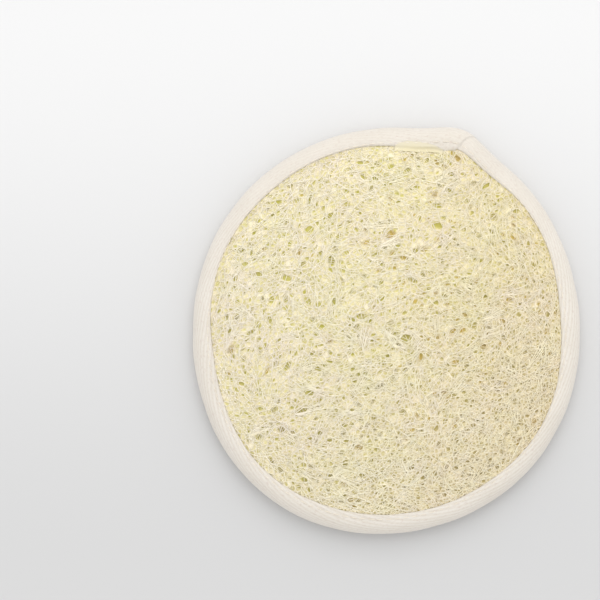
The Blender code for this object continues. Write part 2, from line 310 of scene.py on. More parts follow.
@dataclass(frozen=True)
class Outline:
    """The pad's outline, as in the frame: an oval with a soft corner at the tape's lap."""

    radius: float = 68.8 * MM
    waves: tuple = (
        (1, -0.2 * MM, 0.0),
        (2, -1.6 * MM, 0.6 * MM),
        (3, 0.0, -0.2 * MM),
        (4, -0.3 * MM, -0.3 * MM),
    )
    corner_rise: float = 3.6 * MM
    corner_angle: float = math.radians(69.25)
    corner_spread: float = math.radians(8.0)
    tape_edge: float = 6.45 * MM
    edge_waves: tuple = (
        (1, 0.0, -0.4 * MM),
        (2, -0.2 * MM, 0.3 * MM),
        (3, 0.0, -0.2 * MM),
        (4, 0.3 * MM, 0.0),
        (5, 0.2 * MM, -0.1 * MM),
        (6, 0.2 * MM, 0.3 * MM),
    )
    puff_rise: float = 1.1 * MM
    puff_place: float = math.radians(3.4)
    puff_spread: float = math.radians(2.4)
    line_depth: float = 3.0 * MM

    def length(self) -> float:
        """Length of the tape's line, halfway over its rounded edge.

        Returns:
            The length in metres.
        """
        angle = np.linspace(0.0, FULL_TURN, 721)
        x, y = self.place(angle, np.full(len(angle), self.line_depth))
        return float(np.hypot(np.diff(x), np.diff(y)).sum())

    @staticmethod
    def wave_sum(waves: tuple, angle: Array) -> Array:
        """Sum of slow waves round the pad.

        Args:
            waves: each wave's count round the pad, its cosine part and its sine part.
            angle: angles round the pad.

        Returns:
            The sum at each angle.
        """
        total = np.zeros_like(np.asarray(angle, float))
        for count, cosine, sine in waves:
            total = total + cosine * np.cos(count * angle) + sine * np.sin(count * angle)
        return total

    def front_edge(self, angle: Array) -> Array:
        """How far inward the tape's front edge lies; hand sewn, so not quite even.

        Args:
            angle: angles round the pad.

        Returns:
            The edge's depth inward from the outline.
        """
        turn = wrapped(angle - self.corner_angle)
        puff = self.puff_rise * np.exp(-(((turn - self.puff_place) / self.puff_spread) ** 2))
        return self.tape_edge + self.wave_sum(self.edge_waves, angle) + puff

    def radius_at(self, angle: Array) -> Array:
        """Distance from the middle to the outline.

        Args:
            angle: angles round the pad.

        Returns:
            The distance at each angle.
        """
        turn = wrapped(angle - self.corner_angle)
        corner = self.corner_rise * np.exp(-((turn / self.corner_spread) ** 2))
        return self.radius + self.wave_sum(self.waves, angle) + corner

    def place(self, angle: Array, depth: Array) -> tuple[Array, Array]:
        """The x and y at a depth inward from the outline."""
        reach = self.radius_at(angle) - depth
        return reach * np.cos(angle), reach * np.sin(angle)

    def depth_of(self, x: Array, y: Array) -> Array:
        """How far inward from the outline a place lies."""
        return self.radius_at(np.arctan2(y, x)) - np.hypot(x, y)

    def dome(self, x: Array, y: Array, edge_depth: float) -> Array:
        """1 in the middle, falling to 0 at edge_depth by the pad's power law."""
        edge = self.radius_at(np.arctan2(y, x)) - edge_depth
        return 1.0 - np.minimum(np.hypot(x, y) / edge, 1.0) ** 2.6


OUTLINE = Outline()


class Nodes:
    """A short way to lay out one material's shader nodes."""

    def __init__(self, name: str, roughness: float, sheen: float = 0.0) -> None:
        """Start a material with one Principled shader.

        Args:
            name: the material's name.
            roughness: the shader's roughness.
            sheen: the weight of a cloth's soft sheen.
        """
        self.material = bpy.data.materials.new(name)
        self.material.use_nodes = True
        self.tree = self.material.node_tree
        self.shader = self.tree.nodes["Principled BSDF"]
        self.shader.inputs["Roughness"].default_value = roughness
        self.shader.inputs["Specular IOR Level"].default_value = 0.25
        self.shader.inputs["Sheen Weight"].default_value = sheen
        self.shader.inputs["Sheen Roughness"].default_value = 0.5

    def add(self, kind: str, **values: object) -> bpy.types.Node:
        """Add a node.

        Args:
            kind: Blender's name for the node.
            values: the node's own properties by name.

        Returns:
            The node.
        """
        node = self.tree.nodes.new(kind)
        for key, value in values.items():
            setattr(node, key, value)
        return node

    def link(self, source: Socket, target: Socket) -> None:
        """Join two sockets."""
        self.tree.links.new(source, target)

    def attribute(self, name: str) -> Socket:
        """A vertex attribute's number."""
        return self.add("ShaderNodeAttribute", attribute_name=name).outputs["Fac"]

    def object_places(self) -> Socket:
        """Object coordinates."""
        return self.add("ShaderNodeTexCoord").outputs["Object"]

    def scaled(self, source: Socket, factor: float, offset: float, clamp: bool = False) -> Socket:
        """A socket's number times a factor, plus an offset.

        Args:
            source: the socket.
            factor: what its number is multiplied by.
            offset: what is added.
            clamp: whether the result is kept between 0 and 1.

        Returns:
            The result's socket.
        """
        node = self.add("ShaderNodeMath", operation="MULTIPLY_ADD", use_clamp=clamp)
        self.link(source, node.inputs[0])
        node.inputs[1].default_value = factor
        node.inputs[2].default_value = offset
        return node.outputs["Value"]

    def axis(self, places: Socket, name: str) -> Socket:
        """One coordinate of places.

        Args:
            places: the places.
            name: the axis, X, Y or Z.

        Returns:
            The coordinate's socket.
        """
        split = self.add("ShaderNodeSeparateXYZ")
        self.link(places, split.inputs["Vector"])
        return split.outputs[name]

    def swirled(self, places: Socket, scale: float, reach: float) -> Socket:
        """Places pushed about in X and Y by noise.

        Args:
            places: the places.
            scale: the noise's scale.
            reach: how far the noise pushes, in metres.

        Returns:
            The pushed places.
        """
        swirl = self.add("ShaderNodeTexNoise")
        swirl.inputs["Scale"].default_value = scale
        self.link(places, swirl.inputs["Vector"])
        push = self.add("ShaderNodeVectorMath", operation="MULTIPLY_ADD")
        push.inputs[1].default_value = (reach, reach, 0.0)
        self.link(swirl.outputs["Color"], push.inputs[0])
        self.link(places, push.inputs[2])
        return push.outputs["Vector"]

    def noise(self, places: Socket, scale: float, detail: float, stretch: tuple = (1, 1, 1)) -> Socket:
        """Noise over places.

        Args:
            places: the places.
            scale: the noise's scale.
            detail: how many finer noises are added.
            stretch: what the places are multiplied by along the axes.

        Returns:
            The noise, from 0 to 1.
        """
        mapping = self.add("ShaderNodeMapping")
        mapping.inputs["Scale"].default_value = stretch
        self.link(places, mapping.inputs["Vector"])
        node = self.add("ShaderNodeTexNoise")
        node.inputs["Scale"].default_value = scale
        node.inputs["Detail"].default_value = detail
        self.link(mapping.outputs["Vector"], node.inputs["Vector"])
        return node.outputs["Fac"]

    def ramp(self, source: Socket, stops: list[tuple]) -> Socket:
        """A colour ramp.

        Args:
            source: what is looked up in the ramp.
            stops: the ramp's stops as (place, colour).

        Returns:
            The colour.
        """
        node = self.add("ShaderNodeValToRGB")
        elements = node.color_ramp.elements
        while len(elements) < len(stops):
            elements.new(0.5)
        for element, (place, colour) in zip(elements, stops):
            element.position = place
            element.color = (*colour, 1.0)
        self.link(source, node.inputs["Fac"])
        return node.outputs["Color"]

    def mix(
        self,
        factor: Socket | float,
        first: Socket | tuple,
        second: Socket | tuple,
        blend: str = "MIX",
    ) -> Socket:
        """Mix two colours, each a socket or fixed.

        Args:
            factor: 0 for the first colour alone, 1 for the second at full strength.
            first: the colour below.
            second: the colour above.
            blend: Blender's name for the way they blend.

        Returns:
            The mixed colour.
        """
        node = self.add("ShaderNodeMix", data_type="RGBA", blend_type=blend)
        for socket, value in ((0, factor), (6, first), (7, second)):
            if isinstance(value, Socket):
                self.link(value, node.inputs[socket])
            elif isinstance(value, tuple):
                node.inputs[socket].default_value = (*value, 1.0)
            else:
                node.inputs[socket].default_value = value
        return node.outputs[2]

    def maths(self, operation: str, first: object, second: object = 0.0) -> Socket:
        """One step of arithmetic.

        Args:
            operation: Blender's name for the step.
            first: a socket or a number.
            second: a socket or a number.

        Returns:
            The result's socket.
        """
        node = self.add("ShaderNodeMath", operation=operation)
        for socket, value in zip(node.inputs, (first, second)):
            if isinstance(value, Socket):
                self.link(value, socket)
            else:
                socket.default_value = value
        return node.outputs["Value"]

    def finish(self, colour: Socket, height: Socket, depth: float, rise: float) -> Material:
        """Join the colour and a bump to the shader.

        Args:
            colour: the base colour.
            height: the bump's height.
            depth: the bump's strength.
            rise: the bump's distance in metres.

        Returns:
            The finished material.
        """
        bump = self.add("ShaderNodeBump")
        bump.inputs["Strength"].default_value = depth
        bump.inputs["Distance"].default_value = rise
        self.link(height, bump.inputs["Height"])
        self.link(bump.outputs["Normal"], self.shader.inputs["Normal"])
        self.link(colour, self.shader.inputs["Base Color"])
        return self.material


@dataclass(frozen=True)
class FibreFinish:
    """Dry loofah fibre, cream on top, painted darker and more olive down into the openings: painted shade.
    """

    # pit and straw, and brown_pit and brown_straw, are the deep end of the ramp: painted shade in the
    # openings.
    pit: tuple = (0.53, 0.50, 0.085)
    straw: tuple = (0.75, 0.685, 0.32)
    plate: tuple = (0.865, 0.782, 0.562)
    cream: tuple = (0.975, 0.908, 0.695)
    pale: tuple = (0.98, 0.933, 0.785)
    brown_pit: tuple = (0.46, 0.38, 0.17)
    brown_straw: tuple = (0.65, 0.56, 0.33)
    rust: tuple = (0.67, 0.49, 0.14)
    # Painted shade across the face: the +X side darker and warmer, the -X side paler.
    shaded_side: tuple = (0.972, 0.952, 0.918)
    lit_side: tuple = (1.0, 1.0, 1.045)
    rosy: tuple = (1.0, 0.990, 1.005)
    green: tuple = (0.998, 1.0, 0.965)
    levels: tuple = (0.0, 0.26, 0.48, 0.74, 1.0)
    tint_scales: tuple = (45.0, 200.0)
    tint_edges: tuple = (0.36, 0.64)
    grain_scale: float = 900.0
    grain_depth: float = 0.14
    fineness_slope: float = 10.0
    fineness_middle: float = 0.25
    side_shading_slope: float = -12.0
    pore_size: float = 1.05 * MM
    pore_shade_strength: float = 0.38
    pore_edges: tuple = (0.22, 0.44)
    pore_swirl: tuple = (400.0, 1.2 * MM)
    streak_swirl: tuple = (70.0, 22.0 * MM)
    streak_turn: float = math.radians(-22.0)
    streak_stretch: tuple = (260.0, 1500.0, 260.0)
    streak_depth: float = 0.5
    roughness: float = 0.65

    def material(self) -> Material:
        """Build the material. It reads the attributes shade, rust and pores.

        Returns:
            The material.
        """
        nodes = Nodes("loofah_fibre", self.roughness)
        places = nodes.object_places()
        grain = nodes.noise(places, self.grain_scale, 3.0)
        shade = nodes.scaled(grain, self.grain_depth, -0.5 * self.grain_depth)
        shade = nodes.maths("ADD", nodes.attribute("shade"), shade)
        shade = nodes.maths("ADD", shade, self.streaks(nodes, places))
        shade = nodes.maths("SUBTRACT", shade, self.pores(nodes, places))
        upper = (self.plate, self.cream, self.pale)
        # Low shades paint shade, from straw down to the olive pit; high shades give the cream of the upper
        # fibres.
        colour = nodes.ramp(shade, list(zip(self.levels, (self.pit, self.straw, *upper))))
        brown = nodes.ramp(shade, list(zip(self.levels, (self.brown_pit, self.brown_straw, *upper))))
        colour = nodes.mix(self.fineness(nodes, places), colour, brown)
        for scale in self.tint_scales:
            patches = nodes.noise(places, scale, 2.0)
            tint = nodes.ramp(patches, list(zip(self.tint_edges, (self.green, self.rosy))))
            colour = nodes.mix(1.0, colour, tint, "MULTIPLY")
        # Multiply in the painted shade across the face.
        colour = nodes.mix(1.0, colour, self.side_shading(nodes, places), "MULTIPLY")
        colour = nodes.mix(nodes.attribute("rust"), colour, self.rust)
        return nodes.finish(colour, nodes.noise(places, 2600.0, 2.0), 0.3, 0.2 * MM)

    def fineness(self, nodes: Nodes, places: Socket) -> Socket:
        """0 on the coarse side of the face, towards -X and +Y, to 1 on the fine side."""
        slant = nodes.maths("SUBTRACT", nodes.axis(places, "X"), nodes.axis(places, "Y"))
        return nodes.scaled(slant, self.fineness_slope, self.fineness_middle, clamp=True)

    def side_shading(self, nodes: Nodes, places: Socket) -> Socket:
        """Painted shade across the face: paler at -X, and darker and warmer at +X, as the light falls.

        Args:
            nodes: the material's nodes.
            places: the places.

        Returns:
            The painted shade.
        """
        share = nodes.scaled(nodes.axis(places, "X"), self.side_shading_slope, 0.5)
        stops = [(0.0, self.shaded_side), (0.5, WHITE), (1.0, self.lit_side)]
        return nodes.ramp(share, stops)

    def pores(self, nodes: Nodes, places: Socket) -> Socket:
        """How much darker the smallest pores make a place, painted as dark dots: painted shade of pores
        that the mesh doesn't have; the attribute pores weighs them.

        Args:
            nodes: the material's nodes.
            places: the places.

        Returns:
            What is taken off the shade.
        """
        cells = nodes.add("ShaderNodeTexVoronoi", voronoi_dimensions="2D")
        cells.inputs["Scale"].default_value = 1.0 / self.pore_size
        nodes.link(nodes.swirled(places, *self.pore_swirl), cells.inputs["Vector"])
        dots = nodes.ramp(cells.outputs["Distance"], list(zip(self.pore_edges, (WHITE, BLACK))))
        strength = nodes.maths("MULTIPLY", dots, self.pore_shade_strength)
        each = nodes.add("ShaderNodeSeparateColor")
        nodes.link(cells.outputs["Color"], each.inputs["Color"])
        strength = nodes.maths("MULTIPLY", strength, each.outputs["Red"])
        return nodes.maths("MULTIPLY", strength, nodes.attribute("pores"))

    def streaks(self, nodes: Nodes, places: Socket) -> Socket:
        """Fine swirling streaks, as of fibres pressed into one skin.

        Args:
            nodes: the material's nodes.
            places: the places.

        Returns:
            What is added to the shade.
        """
        turn = nodes.add("ShaderNodeMapping")
        turn.inputs["Rotation"].default_value = (0.0, 0.0, self.streak_turn)
        nodes.link(nodes.swirled(places, *self.streak_swirl), turn.inputs["Vector"])
        lines = nodes.noise(turn.outputs["Vector"], 1.0, 2.0, self.streak_stretch)
        return nodes.scaled(lines, self.streak_depth, -0.5 * self.streak_depth)


@dataclass(frozen=True)
class SkinFinish:
    """The loofah's smooth dried skin, paler where it is thin over the tape."""

    inner: tuple = (0.74, 0.67, 0.45)
    outer: tuple = (0.71, 0.652, 0.495)
    drift_depth: float = 0.5
    roughness: float = 0.7

    def material(self) -> Material:
        """Build the material. It reads the attribute shade, 0 inside to 1 over the tape.

        Returns:
            The material.
        """
        nodes = Nodes("loofah_skin", self.roughness)
        places = nodes.object_places()
        drift = nodes.scaled(nodes.noise(places, 700.0, 3.0), self.drift_depth, -0.5 * self.drift_depth)
        shade = nodes.maths("ADD", nodes.attribute("shade"), drift)
        colour = nodes.ramp(shade, [(0.1, self.inner), (0.85, self.outer)])
        return nodes.finish(colour, nodes.noise(places, 1800.0, 2.0), 0.3, 0.2 * MM)


@dataclass(frozen=True)
class TapeFinish:
    """Unbleached cotton tape in herringbone twill, its grooves painted darker: painted shade between the
    ribs.
    """

    ridge: tuple = (0.747, 0.708, 0.647)
    # groove is painted shade in the twill's grooves.
    groove: tuple = (0.600, 0.535, 0.445)
    fleck: tuple = (0.82, 0.77, 0.70)
    tick: tuple = (0.62, 0.53, 0.47)
    cloud: tuple = (0.965, 0.96, 0.95)
    yarn_stretch: tuple = (900.0, 2600.0, 1.0)
    tick_stretch: tuple = (700.0, 1900.0, 1.0)
    cloud_stretch: tuple = (70.0, 110.0, 1.0)
    groove_shade_share: float = 0.78
    fleck_share: float = 1.3
    tick_share: float = 0.6
    roughness: float = 0.85
    sheen: float = 0.25

    def material(self) -> Material:
        """Build the material. It reads the attribute groove and the weave map.

        Returns:
            The material.
        """
        nodes = Nodes("herringbone_tape", self.roughness, self.sheen)
        weave = nodes.add("ShaderNodeUVMap", uv_map=UV_WEAVE).outputs["UV"]
        yarn = nodes.noise(weave, 1.0, 2.0, self.yarn_stretch)
        clouds = nodes.noise(weave, 1.0, 3.0, self.cloud_stretch)
        # The groove colour is painted shade in the twill's grooves.
        groove_shading = nodes.maths("MULTIPLY", nodes.attribute("groove"), self.groove_shade_share)
        base = nodes.mix(groove_shading, self.ridge, self.groove)
        flecks = nodes.maths("MULTIPLY", nodes.maths("SUBTRACT", yarn, 0.45), self.fleck_share)
        base = nodes.mix(flecks, base, self.fleck)
        ticks = nodes.noise(weave, 1.0, 1.0, self.tick_stretch)
        gaps = nodes.ramp(ticks, [(0.30, WHITE), (0.42, BLACK)])
        base = nodes.mix(nodes.maths("MULTIPLY", gaps, self.tick_share), base, self.tick)
        shade = nodes.ramp(clouds, [(0.35, self.cloud), (0.65, WHITE)])
        colour = nodes.mix(1.0, base, shade, "MULTIPLY")
        return nodes.finish(colour, yarn, 0.5, 0.2 * MM)


@dataclass(frozen=True)
class TerryFinish:
    """Looped cotton pile, painted darker at the loops' roots and on the ground cloth: painted shade under
    the pile.
    """

    # tip and root: the roots are painted darker, painted shade between the loops.
    tip: tuple = (0.90, 0.84, 0.71)
    root: tuple = (0.74, 0.66, 0.50)
    roughness: float = 0.95
    sheen: float = 0.4

    def material(self) -> Material:
        """Build the material. It reads the attribute shade.

        Returns:
            The material.
        """
        nodes = Nodes("terry_cotton", self.roughness, self.sheen)
        places = nodes.object_places()
        twist = nodes.noise(places, 1500.0, 3.0)
        mixed = nodes.maths("ADD", nodes.attribute("shade"), nodes.maths("MULTIPLY", twist, 0.3))
        colour = nodes.ramp(mixed, [(0.1, self.root), (0.85, self.tip)])
        return nodes.finish(colour, twist, 0.6, 0.3 * MM)


@dataclass(frozen=True)
class ThreadFinish:
    """Spun cotton thread, its twist drawn by a slanted wave."""

    colour: tuple = (0.88, 0.82, 0.72)
    shadow: tuple = (0.72, 0.65, 0.54)
    twist_scale: float = 1400.0
    roughness: float = 0.75

    def material(self) -> Material:
        """Build the material.

        Returns:
            The material.
        """
        nodes = Nodes("cotton_thread", self.roughness, 0.2)
        places = nodes.object_places()
        wave = nodes.add("ShaderNodeTexWave", bands_direction="DIAGONAL")
        wave.inputs["Scale"].default_value = self.twist_scale
        wave.inputs["Distortion"].default_value = 1.5
        nodes.link(places, wave.inputs["Vector"])
        colour = nodes.mix(wave.outputs["Fac"], self.shadow, self.colour)
        return nodes.finish(colour, wave.outputs["Fac"], 0.5, 0.1 * MM)


@dataclass(frozen=True)
class FloorFinish:
    """A plain paper floor, painted a little darker in front of the pad than behind it: painted shade where
    the light falls off.
    """

    far: tuple = (0.755, 0.755, 0.755)
    # near is painted shade: the floor darkens towards the front.
    near: tuple = (0.60, 0.60, 0.60)
    far_place: float = 0.11
    near_place: float = -0.08
    roughness: float = 0.9

    def material(self) -> Material:
        """Build the material.

        Returns:
            The material.
        """
        nodes = Nodes("pale_floor", self.roughness)
        places = nodes.object_places()
        span = nodes.add("ShaderNodeMapRange", interpolation_type="SMOOTHSTEP")
        span.inputs["From Min"].default_value = self.near_place
        span.inputs["From Max"].default_value = self.far_place
        nodes.link(nodes.axis(places, "Y"), span.inputs["Value"])
        colour = nodes.mix(span.outputs["Result"], self.near, self.far)
        return nodes.finish(colour, nodes.noise(places, 3.0, 2.0), 0.02, 0.1 * MM)


@dataclass(frozen=True)
class Tubes:
    """Thin strands of few sides, swept along many paths at once.

    Attributes:
        paths: strands by points by x, y, z.
        widths: half widths, strands by points.
        flat: height of the section as a share of its width.
        sides: sides of the section.
    """

    paths: Array
    widths: Array
    flat: float = 0.75
    sides: int = 3

    def piece(self, name: str, shade: Array, rust: Array | None = None) -> Piece:
        """Make one object of all the strands.

        Args:
            name: the object's name.
            shade: the shade of each point of each strand.
            rust: how brown each point is, or nothing for none.

        Returns:
            The object, with its attributes and a map with a patch for each strand.
        """
        strands, steps = self.paths.shape[:2]
        run = np.gradient(self.paths, axis=1)
        run /= np.linalg.norm(run, axis=2, keepdims=True)
        side = np.cross(run, np.array([0.0, 0.0, 1.0]))
        side /= np.maximum(np.linalg.norm(side, axis=2, keepdims=True), 1e-9)
        above = np.cross(side, run)
        roll = 0.5 * math.pi + FULL_TURN * np.arange(self.sides) / self.sides
        wide = self.widths[:, :, None, None]
        offsets = side[:, :, None, :] * np.cos(roll)[None, None, :, None] * wide
        offsets += above[:, :, None, :] * np.sin(roll)[None, None, :, None] * wide * self.flat
        points = (self.paths[:, :, None, :] + offsets).reshape(-1, 3)

        around = self.sides
        one = ring_faces(steps, around, False)
        shift = (np.arange(strands) * steps * around)[:, None, None]
        quads = (one[None] + shift).reshape(-1, 4)
        start = np.arange(around)[None] + shift[:, 0]
        end = start[:, ::-1] + (steps - 1) * around
        item = mesh_from_faces(name, points, [quads, start, end])
        spread = np.repeat(np.broadcast_to(shade, (strands, steps)).reshape(-1), around)
        put_attribute(item, "shade", spread)
        brown = 0.0 if rust is None else rust
        put_attribute(item, "rust", np.repeat(np.broadcast_to(brown, (strands, steps)).reshape(-1), around))
        self.lay_out(item, strands, steps)
        return item

    def lay_out(self, item: Piece, strands: int, steps: int) -> None:
        """Give each strand its own patch of a square map.

        Args:
            item: the piece of all the strands.
            strands: how many there are.
            steps: points on a strand.
        """
        columns = math.ceil(math.sqrt(strands))
        number = np.arange(strands)
        along = np.linspace(0.06, 0.94, steps)
        across = np.linspace(0.06, 0.94, self.sides)
        u = (number % columns)[:, None, None] + along[None, :, None]
        v = (number // columns)[:, None, None] + across[None, None, :]
        u = np.broadcast_to(u, (strands, steps, self.sides))
        v = np.broadcast_to(v, (strands, steps, self.sides))
        put_map(item, UV_BAKE, joined(u, v).reshape(-1, 2) / columns)


def coarseness(x: Array, y: Array) -> Array:
    """0 where the net is coarse, towards -X and +Y, to 1 where it is fine and dense."""
    return smooth_step(-0.25, 0.75, (x - y) / (1.4 * OUTLINE.radius))


def spread_points(paths: Array, count: int, evenness: float) -> Array:
    """Thin finely traced strands to fewer points, closer together where they turn.

    Args:
        paths: strands by fine points by x, y.
        count: points to keep on each strand.
        evenness: radians of turn that weigh as much as one even step.

    Returns:
        Strands by count by x, y.
    """
    run = np.diff(paths, axis=1)
    heading = np.arctan2(run[:, :, 1], run[:, :, 0])
    turn = np.abs(wrapped(np.diff(heading, axis=1)))
    turn = np.pad(turn, ((0, 0), (1, 1)), mode="edge")
    weight = evenness + np.minimum(turn, 0.8)
    weight[:, 1:-1] = (weight[:, :-2] + weight[:, 1:-1] + weight[:, 2:]) / 3.0
    total = np.cumsum(weight[:, 1:] + weight[:, :-1], axis=1)
    total = np.pad(total, ((0, 0), (1, 0)))
    total /= total[:, -1:]
    wanted = np.linspace(0.0, 1.0, count)
    fine = np.linspace(0.0, 1.0, total.shape[1])
    kept = np.stack([np.interp(wanted, line, fine) for line in total])
    place = np.clip(kept * (paths.shape[1] - 1), 0.0, paths.shape[1] - 1.001)
    low = place.astype(int)
    part = (place - low)[:, :, None]
    rows = np.arange(len(paths))[:, None]
    return paths[rows, low] * (1.0 - part) + paths[rows, low + 1] * part


@dataclass
class Openings:
    """The oval openings between the fibres, seen from above."""

    seed: int = 23
    classes: tuple = (
        (1.30 * MM, 2.00 * MM, 60),
        (0.85 * MM, 1.30 * MM, 340),
        (0.50 * MM, 0.85 * MM, 800),
    )
    aspect: tuple = (0.38, 0.74)
    spacing: float = 1.1
    fine_size: float = 0.8 * MM
    coarse_size: float = 0.5 * MM
    edge_depth: float = 7.6 * MM
    bucket: float = 4.0 * MM
    influence: float = 2.2
    ladder_share: float = 0.45
    ladder_size: float = 0.8 * MM
    tries_each: int = 30
    size_bias: float = 1.6
    heading_stray: float = 0.5
    deep_range: tuple = (0.8, 1.2)
    rust_share: float = 0.03
    rim_rust_share: float = 0.12
    side_rust_share: float = 0.26
    rust_range: tuple = (0.6, 1.0)
    rim_depths: tuple = (16.0 * MM, 8.0 * MM)
    side_x: tuple = (-8.0 * MM, 22.0 * MM)
    side_y: tuple = (-38.0 * MM, -8.0 * MM)
    half_field: float = 100.0 * MM

    def __post_init__(self) -> None:
        """Scatter the openings, the large ones first, none over another."""
        draw = np.random.default_rng(self.seed)
        places: list[tuple] = []
        for low, high, wanted in self.classes:
            tries = 0
            made = 0
            while made < wanted and tries < wanted * self.tries_each:
                tries += 1
                x, y = draw.uniform(-1.0, 1.0, 2) * OUTLINE.radius
                size = low + (high - low) * draw.uniform() ** self.size_bias
                if draw.uniform() < coarseness(x, y) * (size - self.fine_size) / self.coarse_size:
                    continue
                if OUTLINE.depth_of(x, y) < self.edge_depth + size:
                    continue
                known = np.array(places) if places else np.zeros((0, 3))
                apart = np.hypot(known[:, 0] - x, known[:, 1] - y)
                if (apart < self.spacing * (known[:, 2] + size)).any():
                    continue
                places.append((x, y, size))
                made += 1
        table = np.array(places)
        count = len(table)
        self.x, self.y, self.size = table.T
        self.narrow = self.size * draw.uniform(*self.aspect, count)
        self.heading = GRAIN.heading(self.x, self.y) + draw.normal(0.0, self.heading_stray, count)
        self.deep = (0.45 + 0.35 * self.size / (1.6 * MM)) * MM * draw.uniform(*self.deep_range, count)
        near_rim = smooth_step(*self.rim_depths, OUTLINE.depth_of(self.x, self.y))
        browned = smooth_step(*self.side_x, self.x) * smooth_step(*self.side_y, self.y)
        share = self.rust_share + self.rim_rust_share * near_rim + self.side_rust_share * browned
        self.rust = np.where(draw.uniform(size=count) < share, draw.uniform(*self.rust_range, count), 0.0)
        self.ladder = (draw.uniform(size=count) < self.ladder_share) & (self.size > self.ladder_size)

    def near(
        self, x: Array, y: Array, reach: float, margin: float = 0.0
    ) -> Iterator[tuple[int, Array, Array]]:
        """Visit each opening with the places that lie near it.

        Args:
            x: places' x.
            y: places' y.
            reach: how many half sizes away a place may be.
            margin: length by which every opening is taken larger.

        Yields:
            The opening's number, the places' numbers, and their distance in half sizes.
        """
        wide = int(2.0 * self.half_field / self.bucket)
        column = ((x + self.half_field) / self.bucket).astype(int)
        row = ((y + self.half_field) / self.bucket).astype(int)
        key = column * wide + row
        order = np.argsort(key, kind="stable")
        ordered = key[order]
        for number in range(len(self.x)):
            mine_x = int((self.x[number] + self.half_field) / self.bucket)
            mine_y = int((self.y[number] + self.half_field) / self.bucket)
            found = []
            for step in (-1, 0, 1):
                base = (mine_x + step) * wide + mine_y
                low, high = np.searchsorted(ordered, [base - 1, base + 2])
                found.append(order[low:high])
            chosen = np.concatenate(found)
            if not len(chosen):
                continue
            away_x = x[chosen] - self.x[number]
            away_y = y[chosen] - self.y[number]
            turn_x = math.cos(self.heading[number])
            turn_y = math.sin(self.heading[number])
            along = (away_x * turn_x + away_y * turn_y) / (self.size[number] + margin)
            across = (away_y * turn_x - away_x * turn_y) / (self.narrow[number] + margin)
            away = np.hypot(along, across)
            inside = away < reach
            yield number, chosen[inside], away[inside]

    def part(self, x: Array, y: Array, share: float, margin: float) -> tuple[Array, Array]:
        """Bend strands round the openings, as grown fibres run round them.

        Args:
            x: places' x.
            y: places' y.
            share: 1 to clear the openings fully, less to cross them.
            margin: length by which the strands keep off an opening's edge.

        Returns:
            The moved x and y.
        """
        x = x.copy()
        y = y.copy()
        keep = 1.0 - 1.0 / self.influence**2
        for number, chosen, away in self.near(x, y, self.influence, margin):
            away = np.maximum(away, 0.08)
            grown = np.sqrt(1.0 + keep * away * away) / away
            grown = 1.0 + (grown - 1.0) * share
            x[chosen] = self.x[number] + (x[chosen] - self.x[number]) * grown
            y[chosen] = self.y[number] + (y[chosen] - self.y[number]) * grown
        return x, y


class Grain:
    """The direction that most fibres follow.

    It slants in the middle of the pad, turns along the rim near it, and swirls in patches.
    """

    slant: float = math.radians(22.0)
    slant_weight: float = 0.55
    rim_weight: float = 0.75
    swirl_weight: float = 0.95

    def __init__(self) -> None:
        """Draw the noises of the swirls."""
        self.first = SmoothNoise(5, 10.0 * MM)
        self.second = SmoothNoise(6, 10.0 * MM)

    def heading(self, x: Array, y: Array) -> Array:
        """The direction at places, in radians.

        Args:
            x: places' x.
            y: places' y.

        Returns:
            The direction in radians.
        """
        out = np.clip(np.hypot(x, y) / OUTLINE.radius, 0.0, 1.0) ** 2
        rim = 2.0 * (np.arctan2(y, x) + 0.5 * math.pi)
        mean = self.slant_weight * (1.0 - out)
        along = mean * math.cos(2.0 * self.slant) + self.rim_weight * out * np.cos(rim)
        across = mean * math.sin(2.0 * self.slant) + self.rim_weight * out * np.sin(rim)
        along = along + self.swirl_weight * self.first.at(x, y)
        across = across + self.swirl_weight * self.second.at(x, y)
        return 0.5 * np.arctan2(across, along)


GRAIN = Grain()


